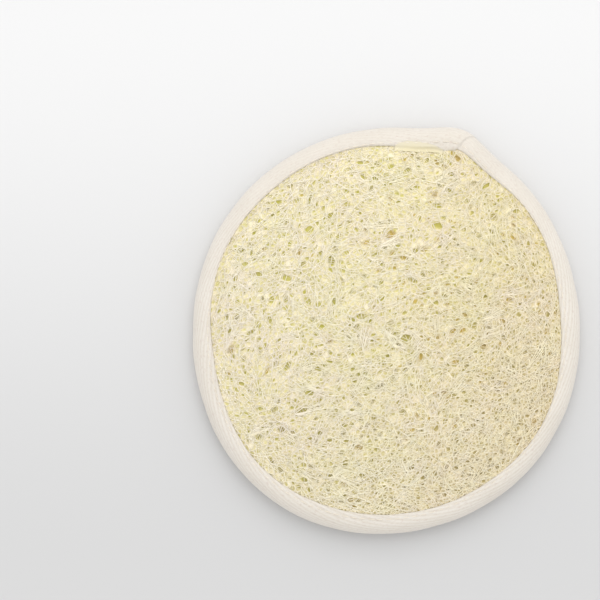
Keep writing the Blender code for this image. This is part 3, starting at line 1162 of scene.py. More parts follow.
@dataclass
class CellNet:
    """The fine net between the openings: small cells, longer along the grain.

    Some cells are open and show the depth of the loofah, the rest are closed by skin.
    """

    openings: Openings
    seed: int = 31
    across: float = 0.84 * MM
    along: float = 1.95 * MM
    tries: int = 60000
    border: float = 4.6 * MM
    bucket: float = 2.4 * MM
    patch_gain: float = 0.12
    size_spread: float = 0.26
    coarse_scale: float = 1.06
    fine_gain: float = 0.26
    open_share: float = 0.96
    open_clump: float = 0.08
    openness: tuple = (0.35, 0.85)
    line_length: tuple = (0.15 * MM, 4.0 * MM)
    line_border: float = 1.2 * MM

    def __post_init__(self) -> None:
        """Scatter the cells' centres and say how open each one is."""
        draw = np.random.default_rng(self.seed)
        patch = SmoothNoise(33, 9.0 * MM)
        size = OUTLINE.radius * 1.06
        x, y = draw.uniform(-size, size, (2, self.tries))
        kept = OUTLINE.depth_of(x, y) > self.border
        x, y = x[kept], y[kept]
        scale = 1.0 + self.patch_gain * patch.at(x, y) + self.size_spread * draw.uniform(-1.0, 1.0, len(x))
        scale = scale * (self.coarse_scale - self.fine_gain * coarseness(x, y))
        heading = GRAIN.heading(x, y)
        turn_x = np.cos(heading) / (self.along * scale)
        turn_y = np.sin(heading) / (self.along * scale)
        side_x = -np.sin(heading) / (self.across * scale)
        side_y = np.cos(heading) / (self.across * scale)
        shelves: dict[tuple, list] = {}
        chosen = []
        for number in range(len(x)):
            column = math.floor(x[number] / self.bucket)
            row = math.floor(y[number] / self.bucket)
            near = [
                other
                for i in (-1, 0, 1)
                for j in (-1, 0, 1)
                for other in shelves.get((column + i, row + j), ())
            ]
            if near:
                away_x = x[near] - x[number]
                away_y = y[near] - y[number]
                along = away_x * turn_x[number] + away_y * turn_y[number]
                across = away_x * side_x[number] + away_y * side_y[number]
                if (along * along + across * across).min() < 1.0:
                    continue
            shelves.setdefault((column, row), []).append(number)
            chosen.append(number)
        self.x, self.y = x[chosen], y[chosen]
        clump = SmoothNoise(34, 5.0 * MM).at(self.x, self.y)
        chance = self.open_share + self.open_clump * clump
        count = len(chosen)
        openness = draw.uniform(*self.openness, count)
        self.open = np.where(draw.uniform(size=count) < chance, openness, 0.0)
        LOG.info("loofah cells: %d, open: %d", count, int((self.open > 0.0).sum()))

    def lines(self) -> Array:
        """The borders between cells: lines that join the middles of neighbouring triangles.

        Returns:
            The borders' end points, borders by two by x, y.
        """
        centres = joined(self.x, self.y)
        found = delaunay_2d_cdt([tuple(point) for point in centres / MM], [], [], 0, 1e-6)
        points = np.array([tuple(point) for point in found[0]]) * MM
        corners = np.array([face for face in found[2]])
        first, second, third = (points[corners[:, i]] for i in range(3))
        second = second - first
        third = third - first
        area = 2.0 * (second[:, 0] * third[:, 1] - second[:, 1] * third[:, 0])
        square_b = (second**2).sum(axis=1)
        square_c = (third**2).sum(axis=1)
        middle_x = (third[:, 1] * square_b - second[:, 1] * square_c) / area
        middle_y = (second[:, 0] * square_c - third[:, 0] * square_b) / area
        middle = first + joined(middle_x, middle_y)
        sides = np.concatenate([corners[:, [0, 1]], corners[:, [1, 2]], corners[:, [2, 0]]])
        sides = np.sort(sides, axis=1)
        owner = np.tile(np.arange(len(corners)), 3)
        order = np.lexsort((sides[:, 1], sides[:, 0]))
        sides, owner = sides[order], owner[order]
        paired = (sides[1:] == sides[:-1]).all(axis=1).nonzero()[0]
        ends = np.stack([middle[owner[paired]], middle[owner[paired + 1]]], axis=1)
        length = np.linalg.norm(ends[:, 1] - ends[:, 0], axis=1)
        depth = OUTLINE.depth_of(ends[:, :, 0], ends[:, :, 1]).min(axis=1)
        shortest, longest = self.line_length
        return ends[(length < longest) & (length > shortest) & (depth > self.border + self.line_border)]

    def nearest(self, x: Array, y: Array) -> tuple[Array, Array]:
        """Find the cell at each place.

        Args:
            x: places' x.
            y: places' y.

        Returns:
            The openness of each place's cell, and the distance to the cell's border.
        """
        moved_x, moved_y = self.openings.part(self.x, self.y, 1.0, 0.0)
        tree = KDTree(len(moved_x))
        for number, place in enumerate(zip(moved_x, moved_y)):
            tree.insert((*place, 0.0), number)
        tree.balance()
        open_at = np.empty(len(x))
        border = np.empty(len(x))
        for number, place in enumerate(zip(x, y)):
            (_, mine, close), (_, _, next_close) = tree.find_n((*place, 0.0), 2)
            open_at[number] = self.open[mine]
            border[number] = 0.5 * (next_close - close)
        return open_at, border


@dataclass(frozen=True)
class FibreLayer:
    """One layer of short fibres.

    Attributes:
        name: the piece's name.
        count: how many fibres.
        length: shortest and longest.
        width: thinnest and thickest half width.
        lift: lowest and highest place over the mat.
        stray: how far headings stray from the grain, in radians.
        parting: how fully the fibres run round the openings.
        shade: darkest and lightest shade.
        seed: the seed of its draws.
        flat: height of a fibre's section as a share of its width.
        steps: points on a fibre.
        traced: points on its fine path, an even number.
    """

    name: str
    count: int
    length: tuple
    width: tuple
    lift: tuple
    stray: float
    parting: float
    shade: tuple
    seed: int
    flat: float
    steps: int
    traced: int = 36


@dataclass
class LoofahFace:
    """The slab of flattened loofah: a pitted mat under layers of parted fibres.

    Each edge is a pair: where an effect begins and where it is full. The widths of the
    net, the rungs and the bundles and the length of a bundle are in millimetres. Shades
    run from 0, deep, to 1, pale; low shades in the openings and on the lower fibres are painted shade.
    """

    under_tape: float = 0.9 * MM
    dome_depth: float = 6.9 * MM
    rim_height: float = 11.02 * MM
    crown_height: float = 20.75 * MM
    tuck: float = 0.55 * MM
    mat_cells: int = 300
    mat_drop: float = 0.14 * MM
    swell: float = 0.30 * MM
    wall_rings: tuple = ((3.9 * MM, 9.3 * MM), (2.4 * MM, 5.4 * MM))
    back_depths: tuple = (9.5 * MM, 16.0 * MM, 28.0 * MM, 46.0 * MM)
    back_gap: float = 0.4 * MM
    swell_edge: tuple = (0.5 * MM, 6.5 * MM)
    tuck_edge: tuple = (0.15 * MM, -0.5 * MM)
    pit_edge: tuple = (1.35, 0.55)
    rust_edge: tuple = (1.1, 0.5)
    cell_edge: tuple = (0.05 * MM, 0.45 * MM)
    cell_drop: float = 0.42 * MM
    fine_rise: float = 0.05 * MM
    mat_shade: float = 0.51
    fine_shade: float = 0.02
    deep_shade: float = 0.41
    hidden_shade: float = 0.45
    pore_share: tuple = (0.35, 1.15)
    fibre_bend: float = 9.0 * MM
    fibre_dip: float = 0.22 * MM
    fibre_taper: float = 0.6
    net_drop: float = 0.04 * MM
    net_margin: float = 0.05 * MM
    net_width: tuple = (0.11, 0.21)
    net_shade: tuple = (0.64, 0.92)
    net_flat: float = 0.35
    net_rust_edge: tuple = (1.9, 1.1)
    net_rust: float = 0.6
    rung_points: int = 5
    rung_counts: tuple = (2, 5)
    rung_tilt: float = 0.25
    rung_span: float = 0.8
    rung_reach: float = 1.25
    rung_bow: float = 0.12
    rung_width: tuple = (0.11, 0.19)
    # Rungs sit below the face and take lower shades: painted shade.
    rung_shade: tuple = (0.5, 0.8)
    rung_rust: float = 0.7
    bundle_count: int = 48
    bundle_size: int = 5
    bundle_steps: int = 10
    bundle_length: tuple = (6.0, 14.0)
    bundle_gap: float = 0.55 * MM
    bundle_fan: float = 0.07
    bundle_bend: float = 30.0 * MM
    bundle_dip: float = 0.25 * MM
    bundle_taper: float = 0.7
    bundle_width: tuple = (0.12, 0.22)
    bundle_shade: tuple = (0.70, 0.86)
    bundle_flat: float = 0.4
    flap_cells: tuple = (64, 18)
    flap_span: tuple = (math.radians(72.8), math.radians(87.8))
    flap_reach: float = 2.1 * MM
    flap_inner: float = 1.5 * MM
    flap_skew: float = 1.5
    flap_edge: tuple = (0.7 * MM, -0.4 * MM)
    flap_drop: float = 0.03 * MM
    flap_thickness: float = 0.10 * MM
    # Shades rise from the deep layer to the hairs on top: painted shade below and painted light on the
    # raised fibres, with random tone within each layer.
    layers: tuple = (
        FibreLayer(
            "loofah_fibres_deep", 1000, (4 * MM, 10 * MM), (0.09 * MM, 0.15 * MM),
            (-0.35 * MM, -0.15 * MM), 0.8, 0.1, (0.60, 0.80), 41, 0.5, 5,
        ),
        FibreLayer(
            "loofah_fibres_mid", 800, (3 * MM, 10 * MM), (0.11 * MM, 0.18 * MM),
            (-0.10 * MM, 0.04 * MM), 0.7, 1.0, (0.66, 0.88), 43, 0.3, 9,
        ),
        FibreLayer(
            "loofah_fibres_top", 900, (4 * MM, 13 * MM), (0.10 * MM, 0.16 * MM),
            (-0.02 * MM, 0.10 * MM), 0.75, 1.0, (0.72, 0.96), 44, 0.32, 9,
        ),
        FibreLayer(
            "loofah_hairs", 3300, (2.5 * MM, 7 * MM), (0.06 * MM, 0.11 * MM),
            (0.0 * MM, 0.14 * MM), 0.7, 0.85, (0.80, 1.0), 46, 0.5, 6,
        ),
    )

    def build(self) -> list[Piece]:
        """Build and dress the mat, the net, the fibres and the flap.

        Returns:
            The pieces.
        """
        self.openings = Openings()
        self.net = CellNet(self.openings)
        self.bumps = SmoothNoise(9, 7.0 * MM)
        material = FibreFinish().material()
        pieces = [self.mat(), self.netting()]
        pieces += [self.fibres(layer) for layer in self.layers]
        pieces += [self.ladders(), self.bundles()]
        for piece in pieces:
            dress(piece, material, Slot.LOOFAH, "loofah_face")
        flap = self.flap()
        dress(flap, SkinFinish().material(), Slot.LOOFAH, "loofah_face")
        return [*pieces, flap]

    def height(self, x: Array, y: Array) -> Array:
        """Height of the net's face, domed and gently uneven.

        Args:
            x: places' x.
            y: places' y.

        Returns:
            The height at each place.
        """
        dome = OUTLINE.dome(x, y, self.dome_depth)
        clear = self.clear_of_tape(x, y)
        inside = smooth_step(*self.swell_edge, clear)
        tucked = smooth_step(*self.tuck_edge, clear)
        height = self.rim_height + (self.crown_height - self.rim_height) * dome
        return height - self.tuck * tucked + self.swell * inside * self.bumps.at(x, y)

    def clear_of_tape(self, x: Array, y: Array) -> Array:
        """How far inside the tape's front edge a place lies; negative under the tape."""
        return OUTLINE.depth_of(x, y) - OUTLINE.front_edge(np.arctan2(y, x))

    def mat(self) -> Piece:
        """The closed under-mat: a pitted top, a shoulder and a dished back.

        A grid is drawn out to the pad's outline, its openings are pressed in, and its
        border is carried down and under by rings.

        Returns:
            The mat.
        """
        item = new_grid("loofah_mat", self.mat_cells, self.mat_cells, 2.0)
        flat = mesh_points(item)
        disc_x = flat[:, 0] * np.sqrt(1.0 - 0.5 * flat[:, 1] ** 2)
        disc_y = flat[:, 1] * np.sqrt(1.0 - 0.5 * flat[:, 0] ** 2)
        angle = np.arctan2(disc_y, disc_x)
        border = OUTLINE.radius_at(angle) - OUTLINE.front_edge(angle) + self.under_tape
        reach = np.hypot(disc_x, disc_y) * border
        x = reach * np.cos(angle)
        y = reach * np.sin(angle)
        pit = np.zeros(len(x))
        rust = np.zeros(len(x))
        for number, chosen, away in self.openings.near(x, y, self.pit_edge[0]):
            hollow = smooth_step(*self.pit_edge, away) * self.openings.deep[number]
            brown = smooth_step(*self.rust_edge, away) * self.openings.rust[number]
            pit[chosen] = np.maximum(pit[chosen], hollow)
            rust[chosen] = np.maximum(rust[chosen], brown)
        fine = SmoothNoise(10, 1.1 * MM).at(x, y)
        open_at, border = self.net.nearest(x, y)
        sunk = open_at * smooth_step(*self.cell_edge, border)
        hollow = np.maximum(pit, sunk * self.cell_drop)
        z = self.height(x, y) - self.mat_drop - hollow + self.fine_rise * fine
        set_points(item, joined(x, y, z))
        # Sunk openings and open cells are painted darker with their depth: painted shade.
        depth = np.maximum(smooth_step(0.1 * MM, 0.5 * MM, pit), 0.75 * sunk)
        shade = self.mat_shade + self.fine_shade * fine - self.deep_shade * depth
        # pores weighs the painted shade of the smallest pores: more on the fine side, less where the
        # openings are already painted deep.
        coarse_pores, fine_pores = self.pore_share
        pores = (coarse_pores + fine_pores * coarseness(x, y)) * (1.0 - 0.7 * depth)

        border = (np.abs(flat).max(axis=1) > 1.0 - 1e-6).nonzero()[0]
        border = border[np.argsort(np.arctan2(y[border], x[border]))]
        closed = self.close_mat(item, border, shade, rust)
        spare = len(closed.data.vertices) - len(pores)
        put_attribute(closed, "pores", np.concatenate([pores, np.zeros(spare)]))
        return closed

    def close_mat(self, item: Piece, border: Array, shade: Array, rust: Array) -> Piece:
        """Carry the mat's border down the side and under the pad.

        Args:
            item: the open top.
            border: its border vertices, in order round the pad.
            shade: shade of the top's vertices.
            rust: brownness of the top's vertices.

        Returns:
            The closed mat.
        """
        top = mesh_points(item)
        faces = np.array([tuple(face.vertices) for face in item.data.polygons])
        angle = np.arctan2(top[border, 1], top[border, 0])
        rings = []
        for depth, height in self.wall_rings:
            x, y = OUTLINE.place(angle, depth)
            rings.append(joined(x, y, np.full(len(x), height)))
        for depth in self.back_depths:
            x, y = OUTLINE.place(angle, depth)
            rings.append(joined(x, y, TERRY.top(x, y) + self.back_gap))
        middle = np.zeros(1)
        pole = np.array([[0.0, 0.0, float(TERRY.top(middle, middle)[0]) + self.back_gap]])
        points = np.concatenate([top, *rings, pole])
        around = len(border)
        row = np.concatenate([border, len(top) + np.arange(around * len(rings))]).reshape(-1, around)
        upper = row[:-1]
        lower = row[1:]
        walls = joined(upper, lower, np.roll(lower, -1, axis=1), np.roll(upper, -1, axis=1))
        last = row[-1]
        fan = joined(last, np.full(around, len(points) - 1), np.roll(last, -1))
        bpy.data.objects.remove(item, do_unlink=True)
        closed = mesh_from_faces("loofah_mat", points, [faces, walls.reshape(-1, 4), fan])
        spare = len(points) - len(top)
        put_attribute(closed, "shade", np.concatenate([shade, np.full(spare, self.hidden_shade)]))
        put_attribute(closed, "rust", np.concatenate([rust, np.zeros(spare)]))
        return closed

    def follow(
        self,
        start_x: Array,
        start_y: Array,
        turn: Array,
        length: Array,
        steps: int,
        stiffness: float,
    ) -> tuple[Array, Array]:
        """Trace strands both ways from their middles, along the grain turned by an angle.

        Args:
            start_x: x of the middles.
            start_y: y of the middles.
            turn: how far each strand's heading is turned from the grain.
            length: the strands' lengths.
            steps: points on a strand, an even number.
            stiffness: the tightest radius that a strand bends to by itself.

        Returns:
            The x and y of the points, strands by steps.
        """
        bend = length / (steps - 1) / stiffness
        halves = []
        for way in (-1.0, 1.0):
            x = start_x.copy()
            y = start_y.copy()
            step = way * length / (steps - 1)
            heading = GRAIN.heading(x, y) + turn
            x = x + 0.5 * step * np.cos(heading)
            y = y + 0.5 * step * np.sin(heading)
            track = [(x, y)]
            for _ in range(steps // 2 - 1):
                wanted = GRAIN.heading(x, y) + turn
                change = wrapped(2.0 * (wanted - heading)) * 0.5
                heading = heading + np.clip(change, -bend, bend)
                x = x + step * np.cos(heading)
                y = y + step * np.sin(heading)
                track.append((x, y))
            halves.append(np.array(track))
        both = np.concatenate([halves[0][::-1], halves[1]])
        return both[:, 0].T, both[:, 1].T

    def seat(self, x: Array, y: Array, lift: Array, dip: float) -> Array:
        """Lay strands on the net: heights that weave a little and dip at both ends.

        Args:
            x: strands by points.
            y: strands by points.
            lift: place over the net of each strand.
            dip: how far the ends sink.

        Returns:
            The paths, strands by points by x, y, z.
        """
        steps = x.shape[1]
        along = np.linspace(-1.0, 1.0, steps)[None, :]
        under_tape = smooth_step(0.6 * MM, -0.3 * MM, self.clear_of_tape(x, y))
        lift = lift[:, None] - dip * along**6
        height = self.height(x, y) + lift * (1.0 - under_tape) - 0.1 * MM * under_tape
        return joined(x, y, height)

    def keep_inside(self, x: Array, y: Array) -> tuple[Array, Array]:
        """Bring places that stray past the slab's edge back to it.

        Args:
            x: places' x.
            y: places' y.

        Returns:
            The x and y, moved where they strayed.
        """
        reach = np.hypot(x, y)
        short = np.maximum(0.3 * MM - self.under_tape - self.clear_of_tape(x, y), 0.0)
        share = (reach - short) / reach
        return x * share, y * share

    def fibres(self, layer: FibreLayer) -> Piece:
        """One layer of short fibres that run round the openings.

        Args:
            layer: the layer's sizes.

        Returns:
            The layer.
        """
        draw = np.random.default_rng(layer.seed)
        angle = draw.uniform(0.0, FULL_TURN, layer.count)
        reach = np.sqrt(draw.uniform(0.0, 1.0, layer.count))
        reach = reach * (OUTLINE.radius_at(angle) - self.dome_depth)
        stray = draw.normal(0.0, layer.stray, layer.count)
        length = draw.uniform(*layer.length, layer.count)
        start_x = reach * np.cos(angle)
        start_y = reach * np.sin(angle)
        x, y = self.follow(start_x, start_y, stray, length, layer.traced, self.fibre_bend)
        x, y = self.lay_round(x, y, layer.parting, layer.steps, 0.10)
        lift = draw.uniform(*layer.lift, layer.count)
        paths = self.seat(x, y, lift, self.fibre_dip)
        wide = draw.uniform(*layer.width, layer.count)[:, None]
        taper = 1.0 - self.fibre_taper * np.abs(np.linspace(-1.0, 1.0, layer.steps)) ** 3
        shade = draw.uniform(*layer.shade, layer.count)[:, None]
        return Tubes(paths, wide * taper, layer.flat).piece(layer.name, shade)

    def netting(self) -> Piece:
        """The thin fibres between the cells.

        Returns:
            The net.
        """
        draw = np.random.default_rng(52)
        ends = self.net.lines()
        x, y = self.openings.part(ends[:, :, 0].ravel(), ends[:, :, 1].ravel(), 1.0, self.net_margin)
        x, y = self.keep_inside(x, y)
        rust = np.zeros(len(x))
        for number, chosen, away in self.openings.near(x, y, self.net_rust_edge[0]):
            near = smooth_step(*self.net_rust_edge, away) * self.openings.rust[number]
            rust[chosen] = np.maximum(rust[chosen], self.net_rust * near)
        x, y = x.reshape(-1, 2), y.reshape(-1, 2)
        paths = joined(x, y, self.height(x, y) - self.net_drop)
        count = len(x)
        wide = draw.uniform(*self.net_width, (count, 1)) * MM * np.ones((1, 2))
        shade = draw.uniform(*self.net_shade, (count, 1))
        return Tubes(paths, wide, self.net_flat).piece("loofah_net", shade, rust.reshape(-1, 2))

    def lay_round(
        self, x: Array, y: Array, parting: float, steps: int, evenness: float
    ) -> tuple[Array, Array]:
        """Bend fine paths round the openings, keep them on the slab and thin their points.

        Args:
            x: x of the fine paths, strands by points.
            y: y of the fine paths.
            parting: how fully they run round the openings.
            steps: points to keep on each strand.
            evenness: radians of turn that weigh as much as one even step.

        Returns:
            The x and y of the points kept.
        """
        shape = x.shape
        x, y = self.openings.part(x.ravel(), y.ravel(), parting, 0.0)
        x, y = self.keep_inside(x, y)
        fine = joined(x.reshape(shape), y.reshape(shape))
        kept = spread_points(fine, steps, evenness)
        return kept[:, :, 0], kept[:, :, 1]

    def ladders(self) -> Piece:
        """The thin rungs that cross the larger openings side by side.

        Returns:
            The rungs.
        """
        draw = np.random.default_rng(51)
        holes = self.openings
        paths = []
        rust = []
        for number in holes.ladder.nonzero()[0]:
            rungs = int(draw.integers(*self.rung_counts))
            tilt = draw.normal(0.0, self.rung_tilt)
            heading = holes.heading[number]
            middle = np.array([holes.x[number], holes.y[number]])
            ahead = np.array([math.cos(heading), math.sin(heading)])
            cross = np.array([-math.sin(heading + tilt), math.cos(heading + tilt)])
            for rung in range(rungs):
                place = (rung + 0.5) / rungs * 2.0 - 1.0
                centre = middle + ahead * holes.size[number] * place * self.rung_span
                reach = holes.narrow[number] * self.rung_reach
                line = np.linspace(-1.0, 1.0, self.rung_points)[:, None]
                flat = centre + cross * line * reach + ahead * self.rung_bow * reach * (1.0 - line**2)
                drop = -0.55 * MM + 0.35 * MM * line[:, 0] ** 2
                z = self.height(flat[:, 0], flat[:, 1]) + drop + draw.uniform(-0.2, 0.1) * MM
                paths.append(np.column_stack([flat, z]))
                rust.append(self.rung_rust * holes.rust[number])
        paths = np.array(paths)
        wide = draw.uniform(*self.rung_width, len(paths))[:, None] * MM * np.ones((1, self.rung_points))
        shade = draw.uniform(*self.rung_shade, len(paths))[:, None]
        return Tubes(paths, wide).piece("loofah_rungs", shade, np.array(rust)[:, None])

    def bundles(self) -> Piece:
        """Bundles of pale fibres that spread from one place, as where a vein ran.

        Returns:
            The bundles.
        """
        draw = np.random.default_rng(61)
        angle = np.repeat(draw.uniform(0.0, FULL_TURN, self.bundle_count), self.bundle_size)
        reach = np.sqrt(draw.uniform(0.0, 0.9, self.bundle_count)) * (OUTLINE.radius - self.dome_depth)
        reach = np.repeat(reach, self.bundle_size)
        stray = np.repeat(draw.normal(0.0, 0.8, self.bundle_count), self.bundle_size)
        length = np.repeat(draw.uniform(*self.bundle_length, self.bundle_count), self.bundle_size) * MM
        place = np.tile(np.arange(self.bundle_size) - 0.5 * (self.bundle_size - 1), self.bundle_count)
        place = place + draw.uniform(-0.3, 0.3, len(place))
        middle_x = reach * np.cos(angle)
        middle_y = reach * np.sin(angle)
        heading = GRAIN.heading(middle_x, middle_y) + stray
        start_x = middle_x - place * self.bundle_gap * np.sin(heading)
        start_y = middle_y + place * self.bundle_gap * np.cos(heading)
        turn = heading - GRAIN.heading(start_x, start_y) + self.bundle_fan * place
        length = length * draw.uniform(0.7, 1.1, len(length))
        x, y = self.follow(start_x, start_y, turn, length, 36, self.bundle_bend)
        x, y = self.lay_round(x, y, 1.0, self.bundle_steps, 0.12)
        lift = draw.uniform(0.02, 0.14, len(x)) * MM
        paths = self.seat(x, y, lift, self.bundle_dip)
        wide = draw.uniform(*self.bundle_width, len(x))[:, None] * MM
        taper = 1.0 - self.bundle_taper * np.abs(np.linspace(-1.0, 1.0, self.bundle_steps)) ** 3
        shade = draw.uniform(*self.bundle_shade, len(x))[:, None]
        return Tubes(paths, wide * taper, self.bundle_flat).piece("loofah_bundles", shade)

    def flap(self) -> Piece:
        """The smooth skin of the loofah that laps over the tape's edge beside the tape's end.

        Returns:
            The flap.
        """
        item = new_grid("loofah_flap", *self.flap_cells, 2.0)
        flat = mesh_points(item)
        low, high = self.flap_span
        angle = 0.5 * (low + high) + 0.5 * (high - low) * flat[:, 0]
        ends = np.sin(math.pi * (0.5 + 0.5 * flat[:, 0]) ** self.flap_skew) ** 0.8
        noise = SmoothNoise(14, 1.7 * MM).at(flat[:, 0] * 15 * MM, np.zeros(len(flat)))
        inner = OUTLINE.front_edge(angle) + self.flap_inner + 0.2 * MM * noise
        outer = OUTLINE.front_edge(angle) - ends * (self.flap_reach + 0.18 * MM * noise)
        share = 0.5 * (flat[:, 1] + 1.0)
        depth = inner + (outer - inner) * share
        x, y = OUTLINE.place(angle, depth)
        over = smooth_step(*self.flap_edge, self.clear_of_tape(x, y))
        loofah = self.height(x, y) - 0.02 * MM
        tape = BINDING.front_height(depth, angle) - self.flap_drop
        z = loofah * (1.0 - over) + tape * over
        set_points(item, joined(x, y, z))
        put_attribute(item, "shade", share)
        apply_modifier(item, "SOLIDIFY", thickness=self.flap_thickness, offset=-1.0)
        item.data.shade_smooth()
        return item


@dataclass
class TerryBack:
    """The terry cloth back: a dished cloth and its looped pile."""

    edge_depth: float = 2.4 * MM
    dish_depth: float = 9.5 * MM
    rim_height: float = 2.2 * MM
    crown_height: float = 10.6 * MM
    rim_thickness: float = 1.3 * MM
    crown_thickness: float = 2.4 * MM
    pile: float = 0.75 * MM
    strap_middle: float = 4.0 * MM
    strap_clear: tuple = (24.0 * MM, 16.0 * MM)
    strap_lift: float = 1.3 * MM
    clear_depth: float = 14.0 * MM
    around: int = 240
    rings: int = 30
    loop_pitch: float = 1.35 * MM
    loop_scatter: float = 0.45
    loop_points: int = 5
    loop_width: tuple = (0.35, 0.6)
    loop_height: tuple = (0.85, 1.45)
    loop_lean: float = 0.35
    loop_radius: float = 0.2 * MM
    loop_thickness: tuple = (0.8, 1.15)
    loop_sunk: float = 0.15 * MM
    ground_shade: float = 0.25
    flat_area: float = 0.01335

    def bottom(self, x: Array, y: Array) -> Array:
        """Height of the underside, pressed up over the strap's ends.

        Args:
            x: places' x.
            y: places' y.

        Returns:
            The height at each place.
        """
        dome = OUTLINE.dome(x, y, self.dish_depth)
        height = self.rim_height + (self.crown_height - self.rim_height) * dome
        over_strap = smooth_step(*self.strap_clear, np.abs(y - self.strap_middle))
        near_rim = smooth_step(self.clear_depth, self.dish_depth, OUTLINE.depth_of(x, y))
        return height + self.strap_lift * over_strap * near_rim

    def top(self, x: Array, y: Array) -> Array:
        """Height of the upper side.

        Args:
            x: places' x.
            y: places' y.

        Returns:
            The height at each place.
        """
        dome = OUTLINE.dome(x, y, self.dish_depth)
        rise = self.crown_thickness - self.rim_thickness
        return self.bottom(x, y) + self.rim_thickness + rise * dome

    def pile_room(self, x: Array, y: Array) -> Array:
        """How long the pile stands: none under the binding, and short over the strap's ends."""
        depth = OUTLINE.depth_of(x, y)
        return self.pile * smooth_step(self.dish_depth - 1.5 * MM, self.clear_depth + 2 * MM, depth)

    def build(self) -> list[Piece]:
        """Build and dress the cloth and its pile.

        Returns:
            The cloth and the pile.
        """
        material = TerryFinish().material()
        cloth = self.cloth()
        pile = self.loops()
        for piece in (cloth, pile):
            dress(piece, material, Slot.TERRY, "terry_back")
        return [cloth, pile]

    def cloth(self) -> Piece:
        """The ground of the cloth, a closed dished sheet.

        Returns:
            The cloth.
        """
        angle = FULL_TURN * np.arange(self.around) / self.around
        share = np.linspace(0.0, 1.0, self.rings, endpoint=False)
        rings = []
        for side in ("under", "over"):
            for part in share if side == "under" else share[::-1]:
                depth = self.edge_depth + (OUTLINE.radius_at(angle) - self.edge_depth) * part
                x, y = OUTLINE.place(angle, depth)
                if side == "under":
                    z = self.bottom(x, y) + self.pile_room(x, y)
                else:
                    z = self.top(x, y)
                rings.append(joined(x, y, z))
        middle = np.zeros(1)
        low = float((self.bottom(middle, middle) + self.pile_room(middle, middle))[0])
        high = float(self.top(middle, middle)[0])
        points = np.concatenate(rings + [np.array([[0.0, 0.0, low], [0.0, 0.0, high]])])
        count = self.rings
        under = ring_faces(count, self.around, False)[:, ::-1]
        over = ring_faces(count, self.around, False)[:, ::-1] + count * self.around
        first = np.arange(self.around)
        after = (first + 1) % self.around
        outer_top = (2 * count - 1) * self.around
        rim = joined(first, after, outer_top + after, outer_top + first)
        inner_low = (count - 1) * self.around
        inner_high = count * self.around
        low_pole = np.full(self.around, len(points) - 2)
        high_pole = low_pole + 1
        low_fan = joined(inner_low + after, inner_low + first, low_pole)
        high_fan = joined(inner_high + first, inner_high + after, high_pole)
        item = mesh_from_faces("terry_cloth", points, [under, over, rim, low_fan, high_fan])
        # ground_shade paints the cloth darker: painted shade under the pile.
        put_attribute(item, "shade", np.full(len(points), self.ground_shade))
        return item

    def loops(self) -> Piece:
        """The pile, loop by loop, leaning at random.

        Returns:
            The pile.
        """
        draw = np.random.default_rng(71)
        half = int(OUTLINE.radius * 1.1 / self.loop_pitch)
        grid = np.arange(-half, half + 1) * self.loop_pitch
        x, y = (part.ravel() for part in np.meshgrid(grid, grid))
        x = x + draw.uniform(-self.loop_scatter, self.loop_scatter, len(x)) * self.loop_pitch
        y = y + draw.uniform(-self.loop_scatter, self.loop_scatter, len(y)) * self.loop_pitch
        room = self.pile_room(x, y)
        kept = room > 0.25 * self.pile
        x, y, room = x[kept], y[kept], room[kept]
        count = len(x)
        heading = draw.uniform(0.0, FULL_TURN, count)[:, None]
        wide = draw.uniform(*self.loop_width, count)[:, None] * MM
        tall = (room * draw.uniform(*self.loop_height, count))[:, None]
        lean = draw.normal(0.0, self.loop_lean, (count, 2))
        turn = np.linspace(0.0, math.pi, self.loop_points)[None, :]
        out = -np.cos(turn) * wide
        down = np.sin(turn) * tall
        path_x = x[:, None] + out * np.cos(heading) + down * lean[:, :1]
        path_y = y[:, None] + out * np.sin(heading) + down * lean[:, 1:]
        ground = (self.bottom(x, y) + room)[:, None] + self.loop_sunk
        paths = joined(path_x, path_y, ground - down)
        # Loops are painted darker towards their roots: painted shade between the loops.
        shade = 0.35 + 0.65 * np.sin(turn) * draw.uniform(0.75, 1.1, count)[:, None]
        thick = np.full((count, self.loop_points), self.loop_radius)
        thick = thick * draw.uniform(*self.loop_thickness, (count, 1))
        return Tubes(paths, thick, flat=1.0).piece("terry_pile", shade)


TERRY = TerryBack()


@dataclass(frozen=True)
class Herringbone:
    """Relief of the tape's twill: slanted ribs that meet at the tape's middle."""

    width: float
    pitch: float = 1.3 * MM
    slant: float = math.tan(math.radians(8.5))
    rise: float = 0.08 * MM

    def rib(self, along: Array, across: Array) -> Array:
        """Height of the ribs from 0 to 1, at places in metres on the tape."""
        phase = (along * self.slant + np.abs(across - 0.5 * self.width)) / self.pitch
        return np.abs(np.sin(math.pi * phase)) ** 0.8


